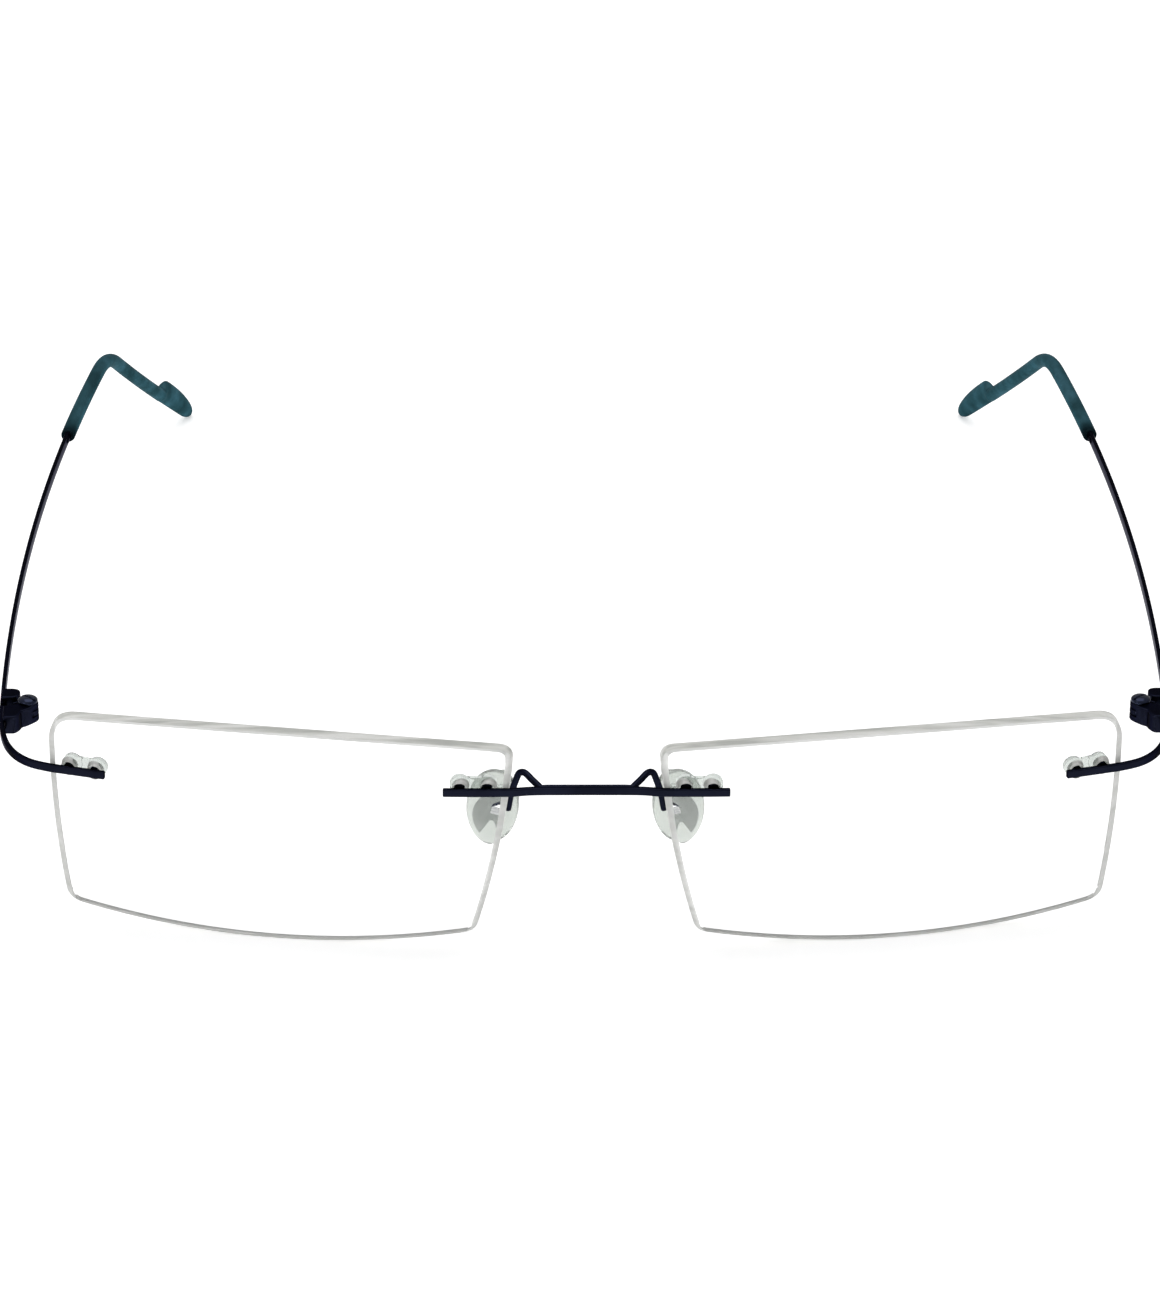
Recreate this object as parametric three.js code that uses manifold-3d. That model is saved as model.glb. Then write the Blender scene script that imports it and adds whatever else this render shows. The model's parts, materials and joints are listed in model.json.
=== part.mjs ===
// Rimless eyeglasses with drilled lenses, compression sleeves, screwed nose pads and folding temples.
//
// Everything is built in the wearing frame, in millimetres: X to the right as seen from the front,
// Y towards the wearer's ears, Z up, the temples level. The right half is modelled and the left half
// is its mirror image. The finished group is then set down on its lens bottoms and temple tips.
import * as THREE from 'three';
import { mergeVertices } from 'three/addons/utils/BufferGeometryUtils.js';
import Module from 'manifold-3d';

const wasm = await Module();
wasm.setup();

const degree = Math.PI / 180;

// Lenses: boxed size, gap over the nose, curve and tilts.
const lensWidth = 52;
const lensHeight = 28;
const lensThickness = 1.65;
const lensRadius = 156;
const lensGap = 16.8;
const wrapAngle = 8.1 * degree;
const lensTilt = 6.7 * degree;

// How far each lens corner stays inside the box (across, down or up), and its rounding.
const noseTop = { inset: 0.08, drop: 1.27, round: 1.7 };
const templeTop = { inset: 0.14, drop: 1.54, round: 3 };
const templeBottom = { inset: 1.14, drop: 1.77, round: 1.6 };
const noseBottom = { inset: 4.33, drop: 2.32, round: 1.3 };
const topBulge = 1.4;
const templeBulge = 0.4;
const bottomBulge = 2.07;
const noseBulge = 0.67;

// Lens mounts: two pins each, at a set distance from the lens box edge and above its middle.
const noseMountInset = 4.3;
const noseMountHeight = 7.85;
const templeMountInset = 3.75;
const templeMountHeight = 6.2;
const pinSpacing = 3;
const pinFootRadius = 0.62;
const pinRadius = 0.4;
const pinFootLength = 0.6;
const sleeveSpigotRadius = 0.8;
const sleeveFlangeRadius = 1.1;
const sleeveFlangeThickness = 0.75;
const sleeveWebHeight = 1.8;

// Flat metal strip of the bridge and end pieces.
const barHeight = 0.9;
const barDepth = 0.6;
const barChamfer = 0.14;
const bridgeOverhang = 1.75;
const endpieceOverhang = 1.35;
const bridgeRise = 0;
const bridgeSetBack = 0.35;

// Hinge: pin axis, measured outward and back from the lens edge, and three knuckles.
const hingeBeyondLens = 3.5;
const hingeBehindLens = 13.6;
const knuckleRadius = 1.2;
const knuckleHeight = 0.76;
const leafHeight = 2.2;
const frontLeafLength = 3.7;
const templeLeafLength = 3.4;
const hingeScrewRadius = 0.45;
const hingeScrewHeadRadius = 1.05;
const hingeScrewHeadHeight = 0.5;

// End piece and temple meet here, just behind the hinge axis and outside it.
const jointBehindHinge = 0.6;
const jointOutsideHinge = 3;
const endpieceCorner = 0.88;

// Temple: straight run, ear bend and tail, with a sideways bow.
const templeStraight = 95.6;
const bendRadius = 18;
const bendAngle = 34.4 * degree;
const tailLength = 38;
const templeFlare = 0.064;
const templeCurl = 0.000994;
const stripHeight = 1.3;
const stripThickness = 0.5;
const stripChamfer = 0.12;
const coreRadius = 0.45;

// Tip cover: sleeve over the temple's core wire, ending in a flat paddle.
const tipLength = 69.5;
const tipRadius = 0.9;
const paddleLength = 14.5;
const paddleHeight = 3.3;
const paddleThickness = 1.5;

// Pad arms: round wire from the bridge to the pad boxes.
const armRadius = 0.38;
const armFootStart = 0.05;
const armFootEnd = 5;
const armFootDrop = 0.05;
const armRise = new THREE.Vector3(2.15, 2.75, 0.8);
const armBow = new THREE.Vector3(0.35, 0.2, 0.2);

// Nose pads: place from the bridge, turn and size; the insert and its lug.
const padBesideGap = 2.05;
const padBehindBridge = 9.1;
const padBelowBridge = 6.65;
const padSplay = 28 * degree;
const padFlare = 17.5 * degree;
const padLean = 11 * degree;
const padLength = 11.3;
const padWidth = 6.4;
const padThickness = 2.5;
const padContactShare = 0.72;
const insertLength = 7.6;
const insertDrop = 0.5;
const insertInset = 0.6;
const insertDepth = 2.4;
const insertThickness = 0.4;
const insertTurn = 17 * degree;
const lugThickness = 0.55;
const lugLength = 1;
const lugOffset = -1.8;
const lugRise = 3.2;
const lugPastPivot = 0.5;
const padPivotDepth = 2.3;
const boxLength = 1.1;
const boxWall = 0.3;
const boxFloor = 0.3;
const boxRim = 0.45;
const padScrewRadius = 0.25;
const padScrewHeadRadius = 0.45;
const padScrewHeadHeight = 0.25;

// Clearances.
const seatGap = 0.12;
const solderGap = 0.05;
const fitGap = 0.05;
const runningGap = 0.04;
const rockGap = 0.15;

// Materials.
const metalColour = { color: 0x191c32, roughness: 0.35, metalness: 0.85 };
const screwColour = { color: 0x2a2d45, roughness: 0.3, metalness: 0.9 };
const lensColour = { color: 0xeef4f2, roughness: 0.03, metalness: 0, transparent: true, opacity: 0.25 };
const sleeveColour = { color: 0xdfeae2, roughness: 0.1, metalness: 0, transparent: true, opacity: 0.5 };
const padColour = { color: 0xdce6de, roughness: 0.25, metalness: 0, transparent: true, opacity: 0.6 };
const insertColour = { color: 0xb9bcbc, roughness: 0.15, metalness: 1 };
const tipColour = { color: 0x2c5560, roughness: 0.55, metalness: 0 };

// ---------- solids ----------

function toSolid(geometry) {
  const plain = geometry.clone();
  plain.deleteAttribute('normal');
  plain.deleteAttribute('uv');
  const merged = mergeVertices(plain, 1e-4);
  const vertProperties = Float32Array.from(merged.attributes.position.array);
  const triVerts = Uint32Array.from(merged.index.array);
  return new wasm.Manifold(new wasm.Mesh({ numProp: 3, vertProperties, triVerts }));
}

function toGeometry(solid) {
  const mesh = solid.getMesh();
  const geometry = new THREE.BufferGeometry();
  geometry.setAttribute('position', new THREE.BufferAttribute(Float32Array.from(mesh.vertProperties), 3));
  geometry.setIndex(new THREE.BufferAttribute(Uint32Array.from(mesh.triVerts), 1));
  geometry.computeVertexNormals();
  return geometry;
}

function join(...geometries) {
  const solids = geometries.map(toSolid);
  return toGeometry(solids.reduce((whole, next) => whole.add(next)));
}

function cut(geometry, ...tools) {
  const solids = tools.map(toSolid);
  return toGeometry(solids.reduce((whole, tool) => whole.subtract(tool), toSolid(geometry)));
}

function mirrored(geometry) {
  const copy = geometry.clone().applyMatrix4(new THREE.Matrix4().makeScale(-1, 1, 1));
  if (!copy.index) copy.setIndex([...Array(copy.attributes.position.count).keys()]);
  const index = copy.index;
  for (let i = 0; i < index.count; i += 3) {
    const second = index.getX(i + 1);
    index.setX(i + 1, index.getX(i + 2));
    index.setX(i + 2, second);
  }
  copy.computeVertexNormals();
  return copy;
}

// Round bar along Y, from one distance to another.
function rodAlongY(radius, from, to, sides = 12) {
  return new THREE.CylinderGeometry(radius, radius, to - from, sides).translate(0, (from + to) / 2, 0);
}

function rodAlongX(radius, from, to, sides = 12) {
  return rodAlongY(radius, from, to, sides).rotateZ(-Math.PI / 2);
}

function rodAlongZ(radius, from, to, sides = 20) {
  return rodAlongY(radius, from, to, sides).rotateX(Math.PI / 2);
}

function block(x0, x1, y0, y1, z0, z1) {
  const geometry = new THREE.BoxGeometry(x1 - x0, y1 - y0, z1 - z0);
  return geometry.translate((x0 + x1) / 2, (y0 + y1) / 2, (z0 + z1) / 2);
}

// Strip section: a rectangle with its corners taken off.
function stripSection(width, height, chamfer) {
  const w = width / 2;
  const h = height / 2;
  const shape = new THREE.Shape();
  shape.moveTo(chamfer - w, -h);
  shape.lineTo(w - chamfer, -h);
  shape.lineTo(w, chamfer - h);
  shape.lineTo(w, h - chamfer);
  shape.lineTo(w - chamfer, h);
  shape.lineTo(chamfer - w, h);
  shape.lineTo(-w, h - chamfer);
  shape.lineTo(-w, chamfer - h);
  return shape;
}

function circle(radius) {
  return new THREE.Shape().absarc(0, 0, radius, 0, Math.PI * 2);
}

function sweep(path, section, steps, curveSegments = 2) {
  const geometry = new THREE.ExtrudeGeometry(section, { steps, curveSegments, extrudePath: path });
  return outward(geometry);
}

// Turns a closed mesh right side out where its sweep left it inside out.
function outward(geometry) {
  const p = geometry.attributes.position;
  const corner = (i) => new THREE.Vector3().fromBufferAttribute(p, geometry.index ? geometry.index.getX(i) : i);
  const count = geometry.index ? geometry.index.count : p.count;
  let volume = 0;
  for (let i = 0; i < count; i += 3) {
    volume += corner(i).dot(corner(i + 1).cross(corner(i + 2)));
  }
  if (volume > 0) return geometry;
  return mirrored(geometry).applyMatrix4(new THREE.Matrix4().makeScale(-1, 1, 1));
}

// Flat outline given as a shape in X and Y, made solid between two heights.
function plate(shape, z0, z1, curveSegments = 6) {
  const options = { depth: z1 - z0, bevelEnabled: false, curveSegments };
  return new THREE.ExtrudeGeometry(shape, options).translate(0, 0, z0);
}

// ---------- lens frame ----------

// Lens axes: x across and outward, y back through the lens, z up its face.
const lensCentreX = lensGap / 2 + (lensWidth / 2) * Math.cos(wrapAngle);
const lensCentreY = (lensWidth / 2) * Math.sin(wrapAngle);
const lensMatrix = new THREE.Matrix4()
  .makeRotationX(lensTilt)
  .multiply(new THREE.Matrix4().makeTranslation(lensCentreX, lensCentreY, 0))
  .multiply(new THREE.Matrix4().makeRotationZ(wrapAngle));

function sag(u, v) {
  return lensRadius - Math.sqrt(lensRadius ** 2 - u * u - v * v);
}

// A point at a depth behind the front surface (negative is in front of the lens).
function lensPoint(u, v, depth) {
  return new THREE.Vector3(u, sag(u, v) + depth, v).applyMatrix4(lensMatrix);
}

function lensOutline() {
  const w = lensWidth / 2;
  const h = lensHeight / 2;
  const corners = [
    { at: new THREE.Vector2(noseTop.inset - w, h - noseTop.drop), round: noseTop.round },
    { at: new THREE.Vector2(w - templeTop.inset, h - templeTop.drop), round: templeTop.round },
    { at: new THREE.Vector2(w - templeBottom.inset, templeBottom.drop - h), round: templeBottom.round },
    { at: new THREE.Vector2(noseBottom.inset - w, noseBottom.drop - h), round: noseBottom.round },
  ];
  const bulges = [topBulge, templeBulge, bottomBulge, noseBulge];
  const stepsAlongSide = [10, 6, 10, 6];
  const stepsRoundCorner = 4;
  const points = [];
  corners.forEach((corner, i) => {
    const next = corners[(i + 1) % corners.length];
    const chord = next.at.clone().sub(corner.at);
    const out = new THREE.Vector2(-chord.y, chord.x).normalize();
    const control = corner.at.clone().add(next.at).multiplyScalar(0.5).addScaledVector(out, 2 * bulges[i]);
    const side = new THREE.QuadraticBezierCurve(corner.at, control, next.at);
    const from = corner.round / chord.length();
    const to = 1 - next.round / chord.length();
    for (let k = 0; k <= stepsAlongSide[i]; k++) {
      points.push(side.getPointAt(from + (to - from) * (k / stepsAlongSide[i])));
    }
    corner.leave = side.getPointAt(from);
    next.arrive = side.getPointAt(to);
    const after = corners[(i + 2) % corners.length];
    const afterChord = after.at.clone().sub(next.at);
    const afterOut = new THREE.Vector2(-afterChord.y, afterChord.x).normalize();
    const afterBulge = bulges[(i + 1) % corners.length];
    const afterControl = next.at.clone().add(after.at).multiplyScalar(0.5).addScaledVector(afterOut, 2 * afterBulge);
    const afterSide = new THREE.QuadraticBezierCurve(next.at, afterControl, after.at);
    const leave = afterSide.getPointAt(next.round / afterChord.length());
    const bend = new THREE.QuadraticBezierCurve(next.arrive, next.at, leave);
    for (let k = 1; k < stepsRoundCorner; k++) {
      points.push(bend.getPoint(k / stepsRoundCorner));
    }
  });
  return points;
}

// Rings of points from the middle to the outline, on the front and back surfaces.
function lensBlank() {
  const outline = lensOutline();
  const rings = 4;
  const n = outline.length;
  const positions = [];
  const triangles = [];
  for (const depth of [0, lensThickness]) {
    positions.push(0, depth, 0);
    for (let ring = 1; ring <= rings; ring++) {
      for (const point of outline) {
        const u = (point.x * ring) / rings;
        const v = (point.y * ring) / rings;
        positions.push(u, sag(u, v) + depth, v);
      }
    }
  }
  const back = 1 + rings * n;
  const at = (face, ring, i) => face + 1 + (ring - 1) * n + (i % n);
  for (let i = 0; i < n; i++) {
    triangles.push(0, at(0, 1, i), at(0, 1, i + 1));
    triangles.push(back, at(back, 1, i + 1), at(back, 1, i));
    for (let ring = 1; ring < rings; ring++) {
      triangles.push(at(0, ring, i), at(0, ring + 1, i), at(0, ring + 1, i + 1));
      triangles.push(at(0, ring, i), at(0, ring + 1, i + 1), at(0, ring, i + 1));
      triangles.push(at(back, ring, i), at(back, ring + 1, i + 1), at(back, ring + 1, i));
      triangles.push(at(back, ring, i), at(back, ring, i + 1), at(back, ring + 1, i + 1));
    }
    triangles.push(at(0, rings, i), at(back, rings, i), at(back, rings, i + 1));
    triangles.push(at(0, rings, i), at(back, rings, i + 1), at(0, rings, i + 1));
  }
  const geometry = new THREE.BufferGeometry();
  geometry.setAttribute('position', new THREE.Float32BufferAttribute(positions, 3));
  geometry.setIndex(triangles);
  return outward(geometry.applyMatrix4(lensMatrix));
}

// ---------- lens mounts ----------

const noseMountU = noseMountInset - lensWidth / 2;
const templeMountU = lensWidth / 2 - templeMountInset;

// Mount axes: x along the lens front, y back along the pins, z up.
function mountMatrix(u, v) {
  return lensMatrix.clone()
    .multiply(new THREE.Matrix4().makeTranslation(u, sag(u, v), v))
    .multiply(new THREE.Matrix4().makeRotationZ(u / lensRadius))
    .multiply(new THREE.Matrix4().makeRotationX(-v / lensRadius));
}

const noseMount = mountMatrix(noseMountU, noseMountHeight);
const templeMount = mountMatrix(templeMountU, templeMountHeight);
const pinPlaces = { inner: -pinSpacing / 2, outer: pinSpacing / 2 };
const pinEnd = lensThickness + sleeveFlangeThickness - 0.35;

function lensWithHoles() {
  const holeRadius = sleeveSpigotRadius + fitGap;
  const drills = [];
  for (const mount of [noseMount, templeMount]) {
    for (const x of Object.values(pinPlaces)) {
      drills.push(rodAlongY(holeRadius, -2, lensThickness + 2, 16).translate(x, 0, 0).applyMatrix4(mount));
    }
  }
  return cut(lensBlank(), ...drills);
}

function mountPin(mount, x) {
  const start = solderGap - seatGap;
  const cone = pinFootLength + 0.25;
  const profile = [[0, start], [pinFootRadius, start], [pinFootRadius, pinFootLength], [pinRadius, cone],
    [pinRadius, pinEnd], [0, pinEnd]];
  const points = profile.map(([r, y]) => new THREE.Vector2(r, y));
  return outward(new THREE.LatheGeometry(points, 12).translate(x, 0, 0).applyMatrix4(mount));
}

function mountSleeve(mount) {
  const seat = lensThickness + fitGap;
  const end = lensThickness + sleeveFlangeThickness;
  const mouth = pinFootLength + 0.25 + fitGap;
  const round = 0.3;
  const profile = [[0, mouth], [sleeveSpigotRadius, mouth], [sleeveSpigotRadius, seat], [sleeveFlangeRadius, seat],
    [sleeveFlangeRadius, end - round], [sleeveFlangeRadius - round, end], [0, end]];
  const points = profile.map(([r, y]) => new THREE.Vector2(r, y));
  const plugs = Object.values(pinPlaces).map((x) => outward(new THREE.LatheGeometry(points, 16)).translate(x, 0, 0));
  const half = pinSpacing / 2;
  const web = block(-half, half, seat, end - 0.15, -sleeveWebHeight / 2, sleeveWebHeight / 2);
  const boreRadius = pinRadius + fitGap;
  const bores = Object.values(pinPlaces).map((x) => rodAlongY(boreRadius, 0, pinEnd + 0.1).translate(x, 0, 0));
  return cut(join(plugs[0], plugs[1], web), ...bores).applyMatrix4(mount);
}

// ---------- bridge and end pieces ----------

const barCentreDepth = -(seatGap + barDepth / 2);
const noseBarEndU = noseMountU + pinSpacing / 2 + bridgeOverhang;
const templeBarEndU = templeMountU - pinSpacing / 2 - endpieceOverhang;
const barSection = stripSection(barHeight, barDepth, barChamfer);

// Bridge height and depth over the nose follow from where the bar leaves the lenses.
const bridgeLeaves = lensPoint(-lensWidth / 2, noseMountHeight, barCentreDepth);
const bridgeY = bridgeLeaves.y + bridgeSetBack;
const bridgeZ = bridgeLeaves.z + bridgeRise;

function bridgePath() {
  const right = [];
  const pointsOnLens = 4;
  for (let i = 0; i <= pointsOnLens; i++) {
    const u = -lensWidth / 2 + (noseBarEndU + lensWidth / 2) * (i / pointsOnLens);
    right.push(lensPoint(u, noseMountHeight, barCentreDepth));
  }
  const overNose = [0.7, 0.25].map((share) => new THREE.Vector3(bridgeLeaves.x * share, bridgeY, bridgeZ));
  overNose[0].lerp(bridgeLeaves, 0.2);
  const half = [...right.reverse(), ...overNose];
  const left = half.map((p) => new THREE.Vector3(-p.x, p.y, p.z));
  return new THREE.CatmullRomCurve3([...left, ...half.reverse()], false, 'centripetal');
}

const lensEdge = lensPoint(lensWidth / 2, templeMountHeight, barCentreDepth);
const hingeX = lensEdge.x + hingeBeyondLens;
const hingeY = lensEdge.y + hingeBehindLens;
const hingeZ = lensEdge.z;
const jointX = hingeX + jointOutsideHinge;
const jointY = hingeY + jointBehindHinge;

// Strip along the lens front, round the corner and back to the hinge joint.
function endpiecePath() {
  const end = new THREE.Vector3(jointX, jointY - fitGap, hingeZ);
  const edge = lensEdge.clone();
  const leaveAngle = wrapAngle + (lensWidth / 2) / lensRadius;
  const across = new THREE.Vector3(Math.cos(leaveAngle), Math.sin(leaveAngle), 0);
  const leave = edge.clone().addScaledVector(across, (end.x - edge.x) * endpieceCorner);
  const arrive = end.clone().add(new THREE.Vector3(-0.07, -1, 0).multiplyScalar((end.y - edge.y) * 0.45));
  const onLens = [0, 0.33, 0.66].map((share) => {
    const u = templeBarEndU + (lensWidth / 2 - templeBarEndU) * share;
    return lensPoint(u, templeMountHeight, barCentreDepth).setZ(hingeZ);
  });
  const corner = new THREE.CubicBezierCurve3(edge, leave, arrive, end);
  const round = [0, 0.15, 0.3, 0.45, 0.6, 0.8, 1].map((share) => corner.getPoint(share));
  return new THREE.CatmullRomCurve3([...onLens, ...round], false, 'centripetal');
}

function endpiece(growth = 0) {
  const section = stripSection(barHeight + 2 * growth, barDepth + 2 * growth, barChamfer);
  return sweep(endpiecePath(), section, 30);
}

// ---------- temples ----------

const bendStart = templeStraight;
const tailStart = bendStart + bendRadius * bendAngle;
const templeEnd = tailStart + tailLength;
const tipStart = templeEnd - tipLength;
const paddleStart = templeEnd - paddleLength;

// Point on the temple's centre line at a distance behind the joint.
function templePoint(s) {
  const turn = Math.min(Math.max((s - bendStart) / bendRadius, 0), bendAngle);
  const tail = Math.max(s - tailStart, 0);
  const y = Math.min(s, bendStart) + bendRadius * Math.sin(turn) + tail * Math.cos(bendAngle);
  const fall = bendRadius * (1 - Math.cos(turn)) + tail * Math.sin(bendAngle);
  const x = jointX + templeFlare * s - templeCurl * s * s;
  return new THREE.Vector3(x, jointY + fitGap + y, hingeZ - fall);
}

class TemplePath extends THREE.Curve {
  constructor(from, to) {
    super();
    this.from = from;
    this.to = to;
  }

  getPoint(t, target = new THREE.Vector3()) {
    return target.copy(templePoint(this.from + (this.to - this.from) * t));
  }
}

function templeStrip(growth = 0) {
  const section = stripSection(stripHeight + 2 * growth, stripThickness + 2 * growth, stripChamfer);
  return sweep(new TemplePath(0, tipStart - fitGap), section, 16);
}

function coreWire(growth = 0, from = tipStart - 1.5) {
  const end = paddleStart + 3 + growth * 4;
  return sweep(new TemplePath(from, end), circle(coreRadius + growth), 28, 4);
}

function temple() {
  return join(templeStrip(), coreWire());
}

// Paddle axes: x along the tail, y across it upwards, z through the thickness.
function paddle() {
  const origin = templePoint(paddleStart);
  const along = templePoint(templeEnd).sub(origin).normalize();
  const across = new THREE.Vector3(0, 0, 1).addScaledVector(along, -along.z).normalize();
  const through = along.clone().cross(across);
  const matrix = new THREE.Matrix4().makeBasis(along, across, through).setPosition(origin);
  const low = -tipRadius;
  const high = paddleHeight - tipRadius;
  const bevel = 0.4;
  const shape = new THREE.Shape();
  shape.moveTo(0, low + bevel);
  shape.lineTo(paddleLength * 0.6, low + bevel);
  shape.quadraticCurveTo(paddleLength * 0.97, low + bevel, paddleLength - bevel, -0.1);
  shape.quadraticCurveTo(paddleLength * 0.95, high - 0.9, paddleLength * 0.45, high - bevel);
  shape.quadraticCurveTo(paddleLength * 0.2, high - bevel + 0.25, 0.5, high - bevel);
  shape.lineTo(0, high - 0.9);
  const depth = paddleThickness - 2 * bevel;
  const options = { depth, bevelThickness: bevel, bevelSize: bevel, bevelSegments: 2, curveSegments: 4 };
  return new THREE.ExtrudeGeometry(shape, options).translate(0, 0, -depth / 2).applyMatrix4(matrix);
}

function templeTip() {
  const tube = sweep(new TemplePath(tipStart, paddleStart + 2.5), circle(tipRadius), 30, 6);
  return cut(join(tube, paddle()), coreWire(fitGap, tipStart - 1));
}

// ---------- hinge ----------

const hingeTop = hingeZ + 1.5 * knuckleHeight;
const hingeBottom = hingeZ - 1.5 * knuckleHeight;
const screwBoreRadius = hingeScrewRadius + runningGap;

function hingeBore() {
  return rodAlongZ(screwBoreRadius, hingeBottom - 1, hingeTop + 1).translate(hingeX, hingeY, 0);
}

function hingeFront() {
  const barrel = rodAlongZ(knuckleRadius, hingeBottom, hingeTop).translate(hingeX, hingeY, 0);
  const shape = new THREE.Shape();
  const front = hingeY - frontLeafLength;
  shape.moveTo(jointX - 0.3, hingeY - 0.8);
  shape.lineTo(hingeX + 0.6, hingeY - 0.2);
  shape.lineTo(hingeX - 1.1, hingeY - 0.4);
  shape.quadraticCurveTo(hingeX - 0.5, hingeY - 1.7, hingeX + 0.5, hingeY - 2.2);
  shape.quadraticCurveTo(hingeX + 0.8, front + 0.2, hingeX + 1.4, front);
  shape.lineTo(jointX - 0.5, front);
  const leaf = plate(shape, hingeZ - leafHeight / 2, hingeZ + leafHeight / 2);
  const slotHalf = knuckleHeight / 2 + runningGap;
  const slotRadius = knuckleRadius + 0.15;
  const slot = rodAlongZ(slotRadius, hingeZ - slotHalf, hingeZ + slotHalf).translate(hingeX, hingeY, 0);
  return cut(join(barrel, leaf), slot, endpiece(solderGap), hingeBore());
}

function hingeTemple() {
  const half = knuckleHeight / 2 - runningGap;
  const knuckle = rodAlongZ(knuckleRadius, hingeZ - half, hingeZ + half).translate(hingeX, hingeY, 0);
  const neck = block(-0.6, 0.6, 0, 2.9, -half, half).rotateZ(-42 * degree).translate(hingeX, hingeY, hingeZ);
  const shape = new THREE.Shape();
  const inner = hingeX + 1.1;
  const rear = hingeY + templeLeafLength;
  shape.moveTo(jointX + 0.2, hingeY + 1.2);
  shape.lineTo(jointX + 0.2, rear);
  shape.lineTo(inner + 0.9, rear);
  shape.quadraticCurveTo(inner, rear - 0.1, inner, rear - 0.9);
  shape.quadraticCurveTo(inner, hingeY + 1.3, inner + 0.8, hingeY + 1.2);
  const leaf = plate(shape, hingeZ - leafHeight / 2, hingeZ + leafHeight / 2);
  return cut(join(knuckle, neck, leaf), templeStrip(solderGap), hingeBore());
}

function hingeScrew() {
  const shank = rodAlongZ(hingeScrewRadius, hingeBottom - 0.1, hingeTop + 0.2);
  const seat = hingeTop + fitGap;
  const crown = seat + hingeScrewHeadHeight;
  const profile = [[0, seat], [hingeScrewHeadRadius, seat], [hingeScrewHeadRadius, seat + hingeScrewHeadHeight * 0.2]];
  for (const angle of [25, 50, 70]) {
    const rise = 0.2 + 0.8 * Math.sin(angle * degree);
    profile.push([hingeScrewHeadRadius * Math.cos(angle * degree), seat + hingeScrewHeadHeight * rise]);
  }
  profile.push([0, crown]);
  const points = profile.map(([r, y]) => new THREE.Vector2(r, y));
  const head = outward(new THREE.LatheGeometry(points, 24)).rotateX(Math.PI / 2);
  const slot = block(-0.6, 0.6, -0.1, 0.1, crown - 0.2, crown + 1).rotateZ(35 * degree);
  return cut(join(shank, head), slot).translate(hingeX, hingeY, 0);
}

// ---------- nose pads ----------

// Pad axes: x across the pad and outward, y towards the nose, z up its length.
const padCentre = new THREE.Vector3(
  lensGap / 2 + padBesideGap,
  bridgeY + padBehindBridge,
  bridgeZ - padBelowBridge,
);
const padMatrix = new THREE.Matrix4()
  .makeRotationFromEuler(new THREE.Euler(padLean, -padFlare, padSplay, 'ZYX'))
  .setPosition(padCentre);
const lugEnd = -padPivotDepth - lugPastPivot;
const slotFloor = lugEnd - rockGap;
const boxNear = -padPivotDepth + boxRim;
const boxFar = slotFloor - boxFloor;
const boxHalfWidth = lugThickness / 2 + fitGap + boxWall;

function padBody() {
  const back = -padThickness / 2;
  const front = padThickness / 2;
  const points = [new THREE.Vector2(0, back)];
  const steps = 6;
  for (let i = 1; i <= steps; i++) {
    const angle = (i / steps) * 90 * degree;
    points.push(new THREE.Vector2(Math.sin(angle), back * Math.cos(angle)));
  }
  points.push(new THREE.Vector2(0.97, front * 0.45));
  points.push(new THREE.Vector2(0.88, front * 0.85));
  points.push(new THREE.Vector2(padContactShare, front));
  points.push(new THREE.Vector2(0, front));
  const round = outward(new THREE.LatheGeometry(points, 24));
  return round.scale(padWidth / 2, 1, padLength / 2);
}

// Half-oval plate with a tongue and a lug that stands out of the pad's back.
function padInsert(growth = 0) {
  const shape = new THREE.Shape();
  const top = insertLength / 2 + growth;
  shape.moveTo(-growth, -top);
  shape.absellipse(0, 0, insertDepth + growth, top, -Math.PI / 2, Math.PI / 2, false);
  shape.lineTo(-growth, top);
  const half = insertThickness / 2 + growth;
  const sheet = plate(shape, -half, half, 8).rotateX(Math.PI / 2).rotateY(-insertTurn)
    .translate(-insertInset, 0, -insertDrop);
  const lugHalf = lugThickness / 2 + growth;
  const lugLow = lugRise - lugLength / 2 - growth;
  const lugHigh = lugRise + lugLength / 2 + growth;
  const tongue = block(lugOffset - lugHalf, 0.5, -half, half, lugLow, lugHigh);
  const lug = block(lugOffset - lugHalf, lugOffset + lugHalf, lugEnd - growth, half, lugLow, lugHigh);
  return join(sheet, tongue, lug);
}

function padScrewBore(radius) {
  return rodAlongX(radius, lugOffset - 3, lugOffset + 3).translate(0, -padPivotDepth, lugRise);
}

function nosePad() {
  return cut(padBody(), padInsert(fitGap)).applyMatrix4(padMatrix);
}

function padCore() {
  return cut(padInsert(), padScrewBore(padScrewRadius + runningGap)).applyMatrix4(padMatrix);
}

function padBox() {
  const half = boxLength / 2;
  const outer = block(lugOffset - boxHalfWidth, lugOffset + boxHalfWidth, boxFar, boxNear, lugRise - half, lugRise + half);
  const slotHalf = boxHalfWidth - boxWall;
  const slotLow = lugRise - half - 1;
  const slotHigh = lugRise + half + 1;
  const slot = block(lugOffset - slotHalf, lugOffset + slotHalf, slotFloor, boxNear + 1, slotLow, slotHigh);
  return cut(outer, slot, padScrewBore(padScrewRadius + runningGap)).applyMatrix4(padMatrix);
}

function padScrew() {
  const inner = lugOffset - boxHalfWidth;
  const outer = lugOffset + boxHalfWidth;
  const shank = rodAlongX(padScrewRadius, inner + 0.05, outer + 0.2);
  const head = rodAlongX(padScrewHeadRadius, outer + fitGap, outer + fitGap + padScrewHeadHeight, 20);
  return join(shank, head).translate(0, -padPivotDepth, lugRise).applyMatrix4(padMatrix);
}

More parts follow.
